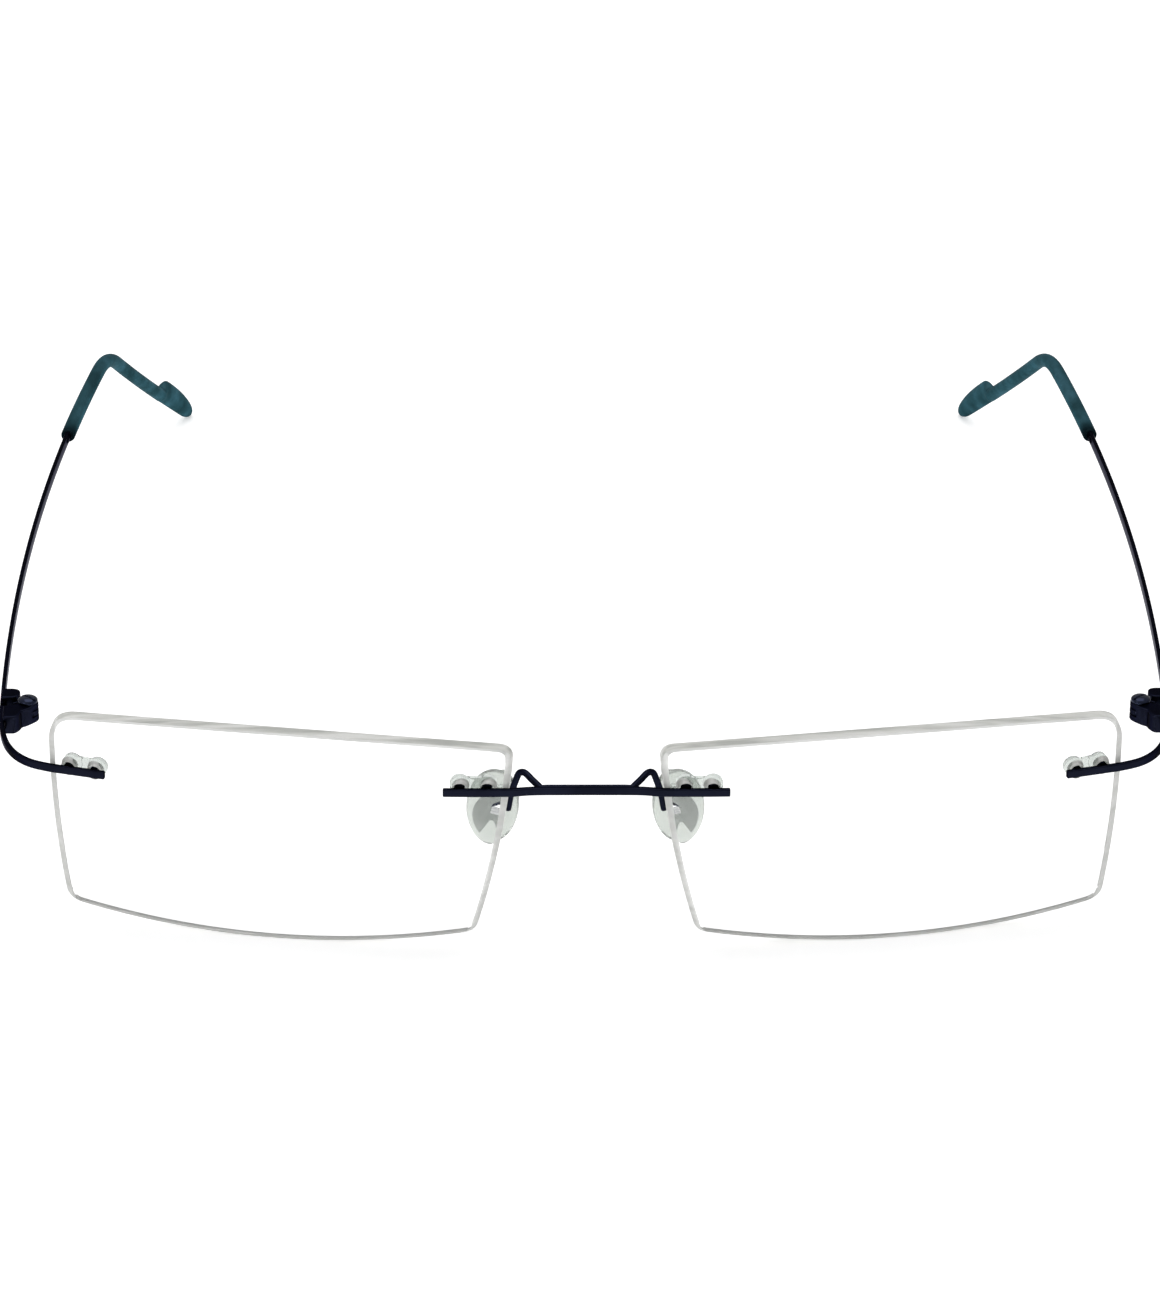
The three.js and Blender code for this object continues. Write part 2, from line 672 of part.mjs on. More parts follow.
// Wire brazed behind the bridge, arched back and down, and brazed to the inner side of the box.
function padArm() {
  const behindBar = bridgeY + barDepth / 2 + solderGap + armRadius;
  const beside = lugOffset - boxHalfWidth - solderGap - armRadius;
  const bottom = new THREE.Vector3(beside, -padPivotDepth, lugRise).applyMatrix4(padMatrix);
  const top = new THREE.Vector3(beside, -padPivotDepth, lugRise + boxLength / 2).applyMatrix4(padMatrix);
  const footStart = new THREE.Vector3(armFootStart, behindBar, bridgeZ - armFootDrop);
  const footEnd = new THREE.Vector3(armFootEnd, behindBar, bridgeZ - armFootDrop);
  const peak = footEnd.clone().add(armRise);
  const bow = peak.clone().lerp(top, 0.5).add(armBow);
  const fall = new THREE.QuadraticBezierCurve3(peak, bow, top);
  const alongFoot = [0.5, 0.85].map((share) => footStart.clone().lerp(footEnd, share));
  const up = [0.12, 0.45, 0.84].map((share) => footEnd.clone().lerp(peak, share));
  const down = [0.1, 0.35, 0.6, 0.85].map((share) => fall.getPoint(share));
  const points = [footStart, ...alongFoot, footEnd, ...up, ...down, top, bottom];
  const path = new THREE.CatmullRomCurve3(points, false, 'centripetal');
  return sweep(path, circle(armRadius), 44, 4);
}

// ---------- assembly ----------

const glasses = new THREE.Group();

function add(name, geometry, look) {
  const mesh = new THREE.Mesh(geometry, new THREE.MeshStandardMaterial(look));
  mesh.name = name;
  glasses.add(mesh);
  return mesh;
}

function addPair(name, geometry, look, suffix = '') {
  return [
    add(`${name}_left${suffix}`, mirrored(geometry), look),
    add(`${name}_right${suffix}`, geometry, look),
  ];
}

const lenses = addPair('lens', lensWithHoles(), lensColour);
add('bridge_bar', sweep(bridgePath(), barSection, 36), metalColour);
addPair('endpiece', endpiece(), metalColour);
for (const [place, x] of Object.entries(pinPlaces)) {
  addPair('bridge_pin', mountPin(noseMount, x), metalColour, `_${place}`);
  addPair('endpiece_pin', mountPin(templeMount, x), metalColour, `_${place}`);
}
addPair('nasal_sleeve', mountSleeve(noseMount), sleeveColour);
addPair('temporal_sleeve', mountSleeve(templeMount), sleeveColour);
addPair('pad_arm', padArm(), metalColour);
addPair('pad_box', padBox(), metalColour);
addPair('pad_screw', padScrew(), screwColour);
addPair('pad_core', padCore(), insertColour);
addPair('nose_pad', nosePad(), padColour);
addPair('hinge_front', hingeFront(), metalColour);
addPair('hinge_temple', hingeTemple(), metalColour);
addPair('hinge_screw', hingeScrew(), screwColour);
addPair('temple', temple(), metalColour);
const tips = addPair('temple_tip', templeTip(), tipColour);

// Lowest height that a set of pieces reaches once the glasses are tipped about X.
function lowest(meshes, tip) {
  let low = Infinity;
  for (const mesh of meshes) {
    const p = mesh.geometry.attributes.position;
    for (let i = 0; i < p.count; i++) {
      low = Math.min(low, p.getY(i) * Math.sin(tip) + p.getZ(i) * Math.cos(tip));
    }
  }
  return low;
}

// The glasses stand on the lens bottoms and the tips: find the tip that brings both level.
let seatLow = -20 * degree;
let seatHigh = 20 * degree;
const bisections = 40;
for (let i = 0; i < bisections; i++) {
  const middle = (seatLow + seatHigh) / 2;
  if (lowest(tips, middle) < lowest(lenses, middle)) seatLow = middle;
  else seatHigh = middle;
}
glasses.rotation.x = (seatLow + seatHigh) / 2;
glasses.updateMatrixWorld(true);
const box = new THREE.Box3().setFromObject(glasses, true);
glasses.position.set(-(box.min.x + box.max.x) / 2, -(box.min.y + box.max.y) / 2, -box.min.z);
glasses.updateMatrixWorld(true);

export default glasses;
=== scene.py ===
"""Rimless eyeglasses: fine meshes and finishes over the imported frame."""
import json
import math

import bmesh
import bpy
import numpy as np
from mathutils import Matrix, Vector, geometry


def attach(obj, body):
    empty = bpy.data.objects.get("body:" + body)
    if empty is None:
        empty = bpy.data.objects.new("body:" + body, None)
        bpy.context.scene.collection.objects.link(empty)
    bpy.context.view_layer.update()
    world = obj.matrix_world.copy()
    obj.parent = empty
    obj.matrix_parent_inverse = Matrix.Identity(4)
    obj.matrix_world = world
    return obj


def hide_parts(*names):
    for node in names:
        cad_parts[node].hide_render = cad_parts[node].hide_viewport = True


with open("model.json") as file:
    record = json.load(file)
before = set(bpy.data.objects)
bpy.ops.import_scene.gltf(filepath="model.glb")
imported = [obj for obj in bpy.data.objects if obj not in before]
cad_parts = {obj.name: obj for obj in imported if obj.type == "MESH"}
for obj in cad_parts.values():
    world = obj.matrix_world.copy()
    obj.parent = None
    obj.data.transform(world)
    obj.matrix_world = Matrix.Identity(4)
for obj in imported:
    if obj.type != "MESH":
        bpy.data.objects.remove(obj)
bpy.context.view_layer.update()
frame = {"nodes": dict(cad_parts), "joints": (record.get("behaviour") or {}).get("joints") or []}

scene = bpy.context.scene
nodes = frame["nodes"]
joints = {joint["name"]: joint for joint in frame["joints"]}

# ---------- the maker's sizes, in millimetres ----------

LENS_WIDTH = 52.0
LENS_HEIGHT = 28.0
LENS_THICKNESS = 1.65
LENS_RADIUS = 156.0
LENS_GAP = 16.8
WRAP = math.radians(8.1)
TILT = math.radians(6.7)
TOP_BULGE, TEMPLE_BULGE, BOTTOM_BULGE, NOSE_BULGE = 1.4, 0.4, 2.07, 0.67
BEVEL_DEPTH = 0.22
BEVEL_WIDTH = 0.16
SIDE_BEVEL_MORE = 0.5

NOSE_MOUNT_INSET = 4.3
NOSE_MOUNT_HEIGHT = 7.85
TEMPLE_MOUNT_INSET = 3.75
TEMPLE_MOUNT_HEIGHT = 6.2
PIN_SPACING = 3.0
SEAT_GAP = 0.12
FIT_GAP = 0.05
FLANGE_RADIUS = 1.1
FLANGE_THICKNESS = 0.75
SPIGOT_RADIUS = 0.8
WEB_HEIGHT = 1.8
SOLDER_GAP = 0.05
PIN_FOOT_RADIUS = 0.62
PIN_FOOT_DEPTH = 0.6
PIN_RADIUS = 0.4
PIN_TAPER = 0.25
PLUG_MOUTH = 0.9
PLUG_BORE = 0.45
PLUG_FLOOR = 0.35
WEB_SET_BACK = 0.12

BAR_HEIGHT = 0.9
BAR_DEPTH = 0.6
BAR_CORNER = 0.13
BAR_END_ROUND = 0.12
BRIDGE_OVERHANG = 1.75
ENDPIECE_OVERHANG = 1.35
BRIDGE_RISE = 0.0
BRIDGE_SET_BACK = 0.35

HINGE_BEYOND_LENS = 3.5
HINGE_BEHIND_LENS = 13.6
JOINT_BEHIND_HINGE = 0.6
JOINT_OUTSIDE_HINGE = 3.0
ENDPIECE_CORNER = 0.88
KNUCKLE_HEIGHT = 0.76
SCREW_HEAD_RADIUS = 1.14
SCREW_HEAD_HEIGHT = 0.62
SCREW_SHANK_RADIUS = 0.45
SCREW_SLOT_WIDTH = 0.24
SCREW_SLOT_DEPTH = 0.22
SCREW_SLOT_TURN = math.radians(35)

TEMPLE_STRAIGHT = 95.6
BEND_RADIUS = 18.0
BEND_ANGLE = math.radians(34.4)
TAIL_LENGTH = 38.0
TEMPLE_FLARE = 0.064
TEMPLE_CURL = 0.000994
STRIP_HEIGHT = 1.3
STRIP_THICKNESS = 0.5
STRIP_CORNER = 0.14
CORE_RADIUS = 0.45
TIP_LENGTH = 69.5
TIP_RADIUS = 0.9
PADDLE_LENGTH = 14.5
PADDLE_HEIGHT = 3.3
PADDLE_THICKNESS = 1.5
PADDLE_NOSE = 2.2
PADDLE_LEAN = 0.25

ARM_RADIUS = 0.38
ARM_FOOT_START = 0.05
ARM_FOOT_END = 5.0
ARM_FOOT_DROP = 0.05
ARM_RISE = (2.15, 2.75, 0.8)
ARM_BOW = (0.35, 0.2, 0.2)

PAD_BESIDE_GAP = 2.05
PAD_BEHIND_BRIDGE = 9.1
PAD_BELOW_BRIDGE = 6.65
PAD_SPLAY = math.radians(28)
PAD_FLARE = math.radians(17.5)
PAD_LEAN = math.radians(11)
PAD_LENGTH = 11.3
PAD_WIDTH = 6.4
PAD_THICKNESS = 2.5
PAD_CONTACT_SHARE = 0.72
INSERT_LENGTH = 7.6
INSERT_DROP = 0.5
INSERT_INSET = 0.6
INSERT_DEPTH = 2.4
INSERT_THICKNESS = 0.4
INSERT_DISH = 0.16
INSERT_TURN = math.radians(17)
LUG_THICKNESS = 0.55
LUG_LENGTH = 1.0
LUG_OFFSET = -1.8
LUG_RISE = 3.2
LUG_PAST_PIVOT = 0.5
PIVOT_DEPTH = 2.3
BOX_LENGTH = 1.1
BOX_WALL = 0.3

SIDES = ("left", "right")


# ---------- small geometry helpers ----------

def vec(*numbers):
    return np.array(numbers, float)


def unit(v):
    return v / np.linalg.norm(v)


def turn(angle, axis):
    return np.array(Matrix.Rotation(angle, 3, axis))


def at(matrix, points):
    """Points moved by a 3 x 4 placing: rotation and origin."""
    rotation, origin = matrix
    return np.asarray(points, float) @ rotation.T + origin


def sag(u, v):
    return LENS_RADIUS - np.sqrt(LENS_RADIUS ** 2 - u * u - v * v)


LENS_CENTRE = vec(LENS_GAP / 2 + LENS_WIDTH / 2 * math.cos(WRAP), LENS_WIDTH / 2 * math.sin(WRAP), 0)


def lens_points(u, v, depth):
    """Points behind the lens front by a depth, in the wearing frame."""
    u, v, depth = np.broadcast_arrays(*[np.asarray(given, float) for given in (u, v, depth)])
    local = np.stack([u, sag(u, v) + depth, v], -1)
    return (local @ turn(WRAP, "Z").T + LENS_CENTRE) @ turn(TILT, "X").T


def mount_place(u, v):
    rotation = turn(TILT, "X") @ turn(WRAP, "Z") @ turn(u / LENS_RADIUS, "Z") @ turn(-v / LENS_RADIUS, "X")
    return rotation, lens_points(u, v, 0.0)


BAR_CENTRE = -(SEAT_GAP + BAR_DEPTH / 2)
NOSE_U = NOSE_MOUNT_INSET - LENS_WIDTH / 2
TEMPLE_U = LENS_WIDTH / 2 - TEMPLE_MOUNT_INSET
LENS_EDGE = lens_points(LENS_WIDTH / 2, TEMPLE_MOUNT_HEIGHT, BAR_CENTRE)
HINGE = LENS_EDGE + vec(HINGE_BEYOND_LENS, HINGE_BEHIND_LENS, 0)
JOINT = HINGE + vec(JOINT_OUTSIDE_HINGE, JOINT_BEHIND_HINGE, 0)
NOSE_MOUNT = mount_place(NOSE_U, NOSE_MOUNT_HEIGHT)
TEMPLE_MOUNT = mount_place(TEMPLE_U, TEMPLE_MOUNT_HEIGHT)

# The wearing frame is set down in the row's frame by the record's own hinge place and axis.
fold = joints["temple_right_fold"]
SEAT = math.atan2(-fold["axis"][1], fold["axis"][2])
SEAT_TURN = turn(SEAT, "X")
SEAT_SHIFT = np.array(fold["pos_m"]) - SEAT_TURN @ HINGE * 0.001


def place(points):
    """Wearing frame in millimetres to row frame in metres."""
    return np.asarray(points, float) @ SEAT_TURN.T * 0.001 + SEAT_SHIFT


def mirror_points(points):
    return np.asarray(points, float) * vec(-1, 1, 1)


def smooth_path(points, per_segment=12):
    """Centripetal spline through the points."""
    p = [np.asarray(q, float) for q in points]
    p = [2 * p[0] - p[1]] + p + [2 * p[-1] - p[-2]]
    out = []
    for i in range(1, len(p) - 2):
        a, b, c, d = p[i - 1:i + 3]
        t0 = 0.0
        t1 = t0 + np.linalg.norm(b - a) ** 0.5
        t2 = t1 + np.linalg.norm(c - b) ** 0.5
        t3 = t2 + np.linalg.norm(d - c) ** 0.5
        for k in range(per_segment):
            t = t1 + (t2 - t1) * k / per_segment
            ab = (t1 - t) / (t1 - t0) * a + (t - t0) / (t1 - t0) * b
            bc = (t2 - t) / (t2 - t1) * b + (t - t1) / (t2 - t1) * c
            cd = (t3 - t) / (t3 - t2) * c + (t - t2) / (t3 - t2) * d
            abc = (t2 - t) / (t2 - t0) * ab + (t - t0) / (t2 - t0) * bc
            bcd = (t3 - t) / (t3 - t1) * bc + (t - t1) / (t3 - t1) * cd
            out.append((t2 - t) / (t2 - t1) * abc + (t - t1) / (t2 - t1) * bcd)
    out.append(p[-2])
    return np.array(out)


def even(points, count):
    """The same line with points at even distances along it."""
    points = np.asarray(points, float)
    run = np.concatenate([[0], np.cumsum(np.linalg.norm(np.diff(points, axis=0), axis=1))])
    want = np.linspace(0, run[-1], count)
    return np.stack([np.interp(want, run, points[:, k]) for k in range(points.shape[1])], -1)


def bezier(points, t):
    points = [np.asarray(p, float) for p in points]
    t = np.asarray(t, float)[:, None]
    if len(points) == 3:
        a, b, c = points
        return (1 - t) ** 2 * a + 2 * (1 - t) * t * b + t ** 2 * c
    a, b, c, d = points
    return (1 - t) ** 3 * a + 3 * (1 - t) ** 2 * t * b + 3 * (1 - t) * t ** 2 * c + t ** 3 * d


def circle_section(radius, count):
    angle = np.arange(count) * 2 * math.pi / count
    return np.stack([radius * np.cos(angle), radius * np.sin(angle)], -1)


def rounded_section(width, height, radius, steps=4):
    points = []
    for cx, cy, start in ((1, 1, 0), (-1, 1, 90), (-1, -1, 180), (1, -1, 270)):
        for k in range(steps + 1):
            angle = math.radians(start + 90 * k / steps)
            points.append((cx * (width / 2 - radius) + radius * math.cos(angle),
                           cy * (height / 2 - radius) + radius * math.sin(angle)))
    return np.array(points)


# ---------- mesh pieces ----------

def build(name, points, faces, finishes, face_finish=None, sharp=35):
    """A mesh in the row frame from points in the wearing frame, shaded smooth with sharp edges."""
    mesh = bpy.data.meshes.new(name)
    mesh.from_pydata([tuple(p) for p in place(points)], [], [tuple(int(i) for i in f) for f in faces])
    for finish in finishes:
        mesh.materials.append(finish)
    if face_finish is not None:
        mesh.polygons.foreach_set("material_index", np.asarray(face_finish, np.int32))
    clean = bmesh.new()
    clean.from_mesh(mesh)
    bmesh.ops.remove_doubles(clean, verts=clean.verts, dist=1e-7)
    bmesh.ops.recalc_face_normals(clean, faces=clean.faces)
    clean.to_mesh(mesh)
    clean.free()
    mesh.shade_smooth()
    mesh.set_sharp_from_angle(angle=math.radians(sharp))
    mesh.update()
    obj = bpy.data.objects.new(name, mesh)
    scene.collection.objects.link(obj)
    return obj


def bridge_rings(rings, closed_ends=True):
    """Faces that join rings of equal size one after another, with both ends closed."""
    count = len(rings[0])
    faces = []
    for k in range(len(rings) - 1):
        for i in range(count):
            j = (i + 1) % count
            faces.append((k * count + i, k * count + j, (k + 1) * count + j, (k + 1) * count + i))
    if closed_ends:
        last = (len(rings) - 1) * count
        faces.append(tuple(reversed(range(count))))
        faces.append(tuple(range(last, last + count)))
    return np.concatenate(rings), faces


def frames_along(path, upright=(0, 0, 1)):
    """Direction, side and up of a path whose section stays upright."""
    ahead = np.gradient(path, axis=0)
    ahead /= np.linalg.norm(ahead, axis=1)[:, None]
    side = np.cross(ahead, np.asarray(upright, float))
    side /= np.linalg.norm(side, axis=1)[:, None]
    return ahead, side, np.cross(side, ahead)


def swept(path, section, end_round=0.1, upright=(0, 0, 1)):
    """Rings of a section along a path, with slightly rounded ends. Section x goes aside, y up."""
    ahead, side, up = frames_along(path, upright)
    rings = []
    half = np.abs(section).max(0)

    def ring(k, back, inset):
        s = section * (1 - inset / half)
        return path[k] + ahead[k] * back + side[k] * s[:, :1] + up[k] * s[:, 1:]

    corner = []
    for a in (0, 0.5, 1.05, math.pi / 2):
        corner.append((end_round * (1 - math.cos(a)), end_round * (1 - math.sin(a))))
    for back, inset in corner:
        rings.append(ring(0, back, inset))
    for k in range(1, len(path) - 1):
        from_ends = min(np.linalg.norm(path[k] - path[0]), np.linalg.norm(path[k] - path[-1]))
        if from_ends > end_round:
            rings.append(ring(k, 0, 0))
    for back, inset in reversed(corner):
        rings.append(ring(len(path) - 1, -back, inset))
    return bridge_rings(rings)


def several(parts):
    """Several point-and-face sets as one."""
    points, faces, base = [], [], 0
    for p, f in parts:
        points.append(p)
        faces += [tuple(i + base for i in face) for face in f]
        base += len(p)
    return np.concatenate(points), faces


def cast(parts, grain_size, passes):
    """Parts welded into one body with eased edges, as a casting or a moulding has them."""
    points, faces = several(parts)
    mesh = bpy.data.meshes.new("rough")
    mesh.from_pydata([tuple(p) for p in points], [], [tuple(int(i) for i in f) for f in faces])
    rough = bpy.data.objects.new("rough", mesh)
    scene.collection.objects.link(rough)
    weld = rough.modifiers.new("weld", "REMESH")
    weld.mode = "VOXEL"
    weld.voxel_size = grain_size
    ease = rough.modifiers.new("ease", "SMOOTH")
    ease.factor = 0.5
    ease.iterations = passes
    bpy.context.view_layer.update()
    done = bpy.data.meshes.new_from_object(rough.evaluated_get(bpy.context.evaluated_depsgraph_get()))
    bpy.data.objects.remove(rough)
    return np.array([tuple(v.co) for v in done.vertices]), [tuple(f.vertices) for f in done.polygons]


def packed_solid(node):
    """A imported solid's points and faces, merged, in the wearing frame."""
    work = bmesh.new()
    work.from_mesh(nodes[node].data)
    bmesh.ops.remove_doubles(work, verts=work.verts, dist=1e-6)
    points = (np.array([tuple(v.co) for v in work.verts]) - SEAT_SHIFT) * 1000 @ SEAT_TURN
    faces = [tuple(v.index for v in f.verts) for f in work.faces]
    work.free()
    return points, faces


def pair(name, points, faces, finishes, face_finish=None, sharp=35, suffix=""):
    """The left piece is the mirror image of the right one."""
    right = build(f"{name}_right{suffix}", points, faces, finishes, face_finish, sharp)
    left = build(f"{name}_left{suffix}", mirror_points(points), faces, finishes, face_finish, sharp)
    return left, right


def set_on(obj, body, slot, *replaced):
    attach(obj, body)
    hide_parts(*replaced)
    return obj


# ---------- materials ----------

FLOOR_GLOW = 0.4


def finish(name, **sockets):
    material = bpy.data.materials.new(name)
    material.use_nodes = True
    tree = material.node_tree
    shader = tree.nodes["Principled BSDF"]
    for socket, value in sockets.items():
        shader.inputs[socket.replace("_", " ")].default_value = value
    return material, tree, shader


def add_node(tree, kind, **values):
    node = tree.nodes.new(kind)
    for key, value in values.items():
        if hasattr(node, key):
            setattr(node, key, value)
        else:
            node.inputs[key.replace("_", " ")].default_value = value
    return node


def object_noise(tree, scale, detail=3.0, stretch=(1, 1, 1), roughness=0.5):
    coords = add_node(tree, "ShaderNodeTexCoord")
    mapping = add_node(tree, "ShaderNodeMapping")
    mapping.inputs["Scale"].default_value = stretch
    noise = add_node(tree, "ShaderNodeTexNoise", Scale=scale, Detail=detail, Roughness=roughness)
    tree.links.new(coords.outputs["Object"], mapping.inputs["Vector"])
    tree.links.new(mapping.outputs["Vector"], noise.inputs["Vector"])
    return noise.outputs["Fac"]


def shades(tree, factor, stops, target):
    """A colour ramp from a factor to a colour socket."""
    ramp = add_node(tree, "ShaderNodeValToRGB")
    while len(ramp.color_ramp.elements) < len(stops):
        ramp.color_ramp.elements.new(0.5)
    for element, (where, colour) in zip(ramp.color_ramp.elements, stops):
        element.position = where
        element.color = (*colour, 1)
    tree.links.new(factor, ramp.inputs["Fac"])
    tree.links.new(ramp.outputs["Color"], target)


def spread(tree, factor, low, high, target):
    ranged = add_node(tree, "ShaderNodeMapRange")
    ranged.inputs["To Min"].default_value = low
    ranged.inputs["To Max"].default_value = high
    tree.links.new(factor, ranged.inputs["Value"])
    tree.links.new(ranged.outputs["Result"], target)


def grain(tree, shader, height, strength, distance):
    bump = add_node(tree, "ShaderNodeBump")
    bump.inputs["Strength"].default_value = strength
    bump.inputs["Distance"].default_value = distance
    tree.links.new(height, bump.inputs["Height"])
    tree.links.new(bump.outputs["Normal"], shader.inputs["Normal"])


def surface(name, cloud, stops, roughness, fine=None, bump=None, **values):
    """A finish with a cloudy colour, whose roughness and bump follow the fine grain where one is given."""
    material, tree, shader = finish(name, **values)
    clouds = object_noise(tree, *cloud)
    shades(tree, clouds, stops, shader.inputs["Base Color"])
    grains = object_noise(tree, *fine) if fine else clouds
    spread(tree, grains, *roughness, shader.inputs["Roughness"])
    if bump:
        grain(tree, shader, grains, *bump)
    return material


def silicone():
    """Milky clear silicone with a trace of green."""
    material, tree, shader = finish("silicone", Transmission_Weight=0.8, IOR=1.2)
    cloud = object_noise(tree, 240, 3)
    shades(tree, cloud, [(0.3, (0.60, 0.64, 0.60)), (0.7, (0.72, 0.755, 0.715))],
           shader.inputs["Base Color"])
    spread(tree, cloud, 0.05, 0.12, shader.inputs["Roughness"])
    grain(tree, shader, object_noise(tree, 2600, 2), 0.05, 0.00003)
    return material


def tip_plastic():
    """Satin teal, mottled through its depth, and nearly black at its mouth."""
    material, tree, shader = finish("tip_plastic", Metallic=0.4, Specular_IOR_Level=0.0,
                                    Specular_Tint=(0.35, 0.4, 0.42, 1))
    mottle = object_noise(tree, 420, 4, (1, 0.45, 1))
    colour = add_node(tree, "ShaderNodeMix", data_type="RGBA")
    shades(tree, mottle, [(0.34, (0.023, 0.059, 0.070)), (0.52, (0.035, 0.090, 0.110)),
                          (0.72, (0.054, 0.138, 0.176))], colour.inputs[6])
    along = add_node(tree, "ShaderNodeAttribute", attribute_name="mouth")
    tree.links.new(along.outputs["Fac"], colour.inputs[0])
    colour.inputs[7].default_value = (0.0025, 0.005, 0.007, 1)
    tree.links.new(colour.outputs[2], shader.inputs["Base Color"])
    fine = object_noise(tree, 3200, 3)
    spread(tree, fine, 0.3, 0.46, shader.inputs["Roughness"])
    grain(tree, shader, fine, 0.1, 0.00003)
    return material


def pale_floor():
    """A matt white table that glows a little, so that it hardly takes a shadow."""
    material, tree, shader = finish("pale_floor", Roughness=0.9, Specular_IOR_Level=0.0,
                                    Emission_Strength=FLOOR_GLOW)
    shader.inputs["Emission Color"].default_value = (1, 1, 1, 1)
    weave = object_noise(tree, 30, 2)
    shades(tree, weave, [(0.3, (0.93, 0.93, 0.93)), (0.7, (0.96, 0.96, 0.96))],
           shader.inputs["Base Color"])
    return material


# Dark navy plating, satin, a little cloudy.
NAVY = surface("navy_coat", (260, 3), [(0.3, (0.0055, 0.0066, 0.0140)), (0.7, (0.0095, 0.0112, 0.023))],
               (0.24, 0.38), (5200, 2), (0.1, 0.00002), Metallic=1.0, Specular_Tint=(0.3, 0.3, 0.36, 1),
               Coat_Weight=0.04, Coat_Roughness=0.2)
# The same plating, polished, on the screws.
POLISH = surface("navy_polish", (700, 2), [(0.3, (0.011, 0.014, 0.030)), (0.7, (0.019, 0.024, 0.046))],
                 (0.12, 0.2), Metallic=1.0, Coat_Weight=0.1, Coat_Roughness=0.06)
# Clear lens plastic whose coating keeps its reflections weak.
CLEAR = surface("lens_clear", (60, 2), [(0.3, (0.992, 0.995, 0.993)), (0.7, (0.997, 0.998, 0.997))],
                (0.0, 0.012), Transmission_Weight=1.0, IOR=1.5, Specular_Tint=(0.3, 0.3, 0.3, 1))
# The cut rim of the lens: frosted, warm grey, with the wheel's faint streaks.
EDGE = surface("lens_ground_edge", (300, 4, (0.35, 3, 3)),
               [(0.36, (0.54, 0.55, 0.515)), (0.5, (0.74, 0.745, 0.705)), (0.64, (0.92, 0.92, 0.89))],
               (0.3, 0.5), (9000, 2), (0.15, 0.00002), Transmission_Weight=0.3, IOR=1.5)
# The safety bevel beside the cut rim: finer frosting, an even shade.
BEVEL = surface("lens_bevel", (240, 3, (0.35, 3, 3)),
                [(0.34, (0.60, 0.605, 0.585)), (0.66, (0.76, 0.765, 0.745))],
                (0.25, 0.4), Transmission_Weight=0.3, IOR=1.5)
# Clear moulded plastic with a trace of green.
SLEEVE = surface("sleeve_clear", (500, 2), [(0.3, (0.66, 0.705, 0.675)), (0.7, (0.79, 0.825, 0.795))],
                 (0.04, 0.12), Transmission_Weight=0.85, IOR=1.25)
SILICONE = silicone()
# Bright brushed steel.
STEEL = surface("insert_steel", (900, 2, (1, 1, 12)), [(0.3, (0.42, 0.43, 0.43)), (0.7, (0.58, 0.59, 0.59))],
                (0.12, 0.22), Metallic=1.0)
TEAL = tip_plastic()


# ---------- geometry node trees ----------

def new_tree(name, inputs):
    tree = bpy.data.node_groups.new(name, "GeometryNodeTree")
    tree.is_modifier = True
    tree.interface.new_socket("Geometry", in_out="INPUT", socket_type="NodeSocketGeometry")
    for label, kind, value in inputs:
        socket = tree.interface.new_socket(label, in_out="INPUT", socket_type=kind)
        if value is not None:
            socket.default_value = value
    tree.interface.new_socket("Geometry", in_out="OUTPUT", socket_type="NodeSocketGeometry")
    return tree, tree.nodes.new("NodeGroupInput"), tree.nodes.new("NodeGroupOutput")


def end_tree(tree, geometry_socket, material_socket, given_out):
    """Realize Instances and Set Material close every tree."""
    real = tree.nodes.new("GeometryNodeRealizeInstances")
    paint = tree.nodes.new("GeometryNodeSetMaterial")
    tree.links.new(geometry_socket, real.inputs["Geometry"])
    tree.links.new(real.outputs["Geometry"], paint.inputs["Geometry"])
    tree.links.new(material_socket, paint.inputs["Material"])
    tree.links.new(paint.outputs["Geometry"], given_out.inputs["Geometry"])


def run_tree(tree, name, points, edges, values, attributes=None, sharp=35):
    """Runs a tree over bare points or lines in the wearing frame and returns a plain mesh piece."""
    source = bpy.data.meshes.new(name + "_guide")
    source.from_pydata([tuple(p) for p in place(points)], edges, [])
    for label, rows in (attributes or {}).items():
        layer = source.attributes.new(label, "FLOAT_VECTOR", "POINT")
        layer.data.foreach_set("vector", np.asarray(rows, np.float32).ravel())
    guide = bpy.data.objects.new(name + "_guide", source)
    scene.collection.objects.link(guide)
    modifier = guide.modifiers.new(tree.name, "NODES")
    modifier.node_group = tree
    sockets = {item.name: item.identifier for item in tree.interface.items_tree if item.in_out == "INPUT"}
    for label, value in values.items():
        modifier[sockets[label]] = value
    bpy.context.view_layer.update()
    evaluated = guide.evaluated_get(bpy.context.evaluated_depsgraph_get())
    mesh = bpy.data.meshes.new_from_object(evaluated)
    mesh.name = name
    bpy.data.objects.remove(guide)
    clean = bmesh.new()
    clean.from_mesh(mesh)
    bmesh.ops.remove_doubles(clean, verts=clean.verts, dist=1e-7)
    bmesh.ops.recalc_face_normals(clean, faces=clean.faces)
    clean.to_mesh(mesh)
    clean.free()
    mesh.shade_smooth()
    mesh.set_sharp_from_angle(angle=math.radians(sharp))
    obj = bpy.data.objects.new(name, mesh)
    scene.collection.objects.link(obj)
    return obj


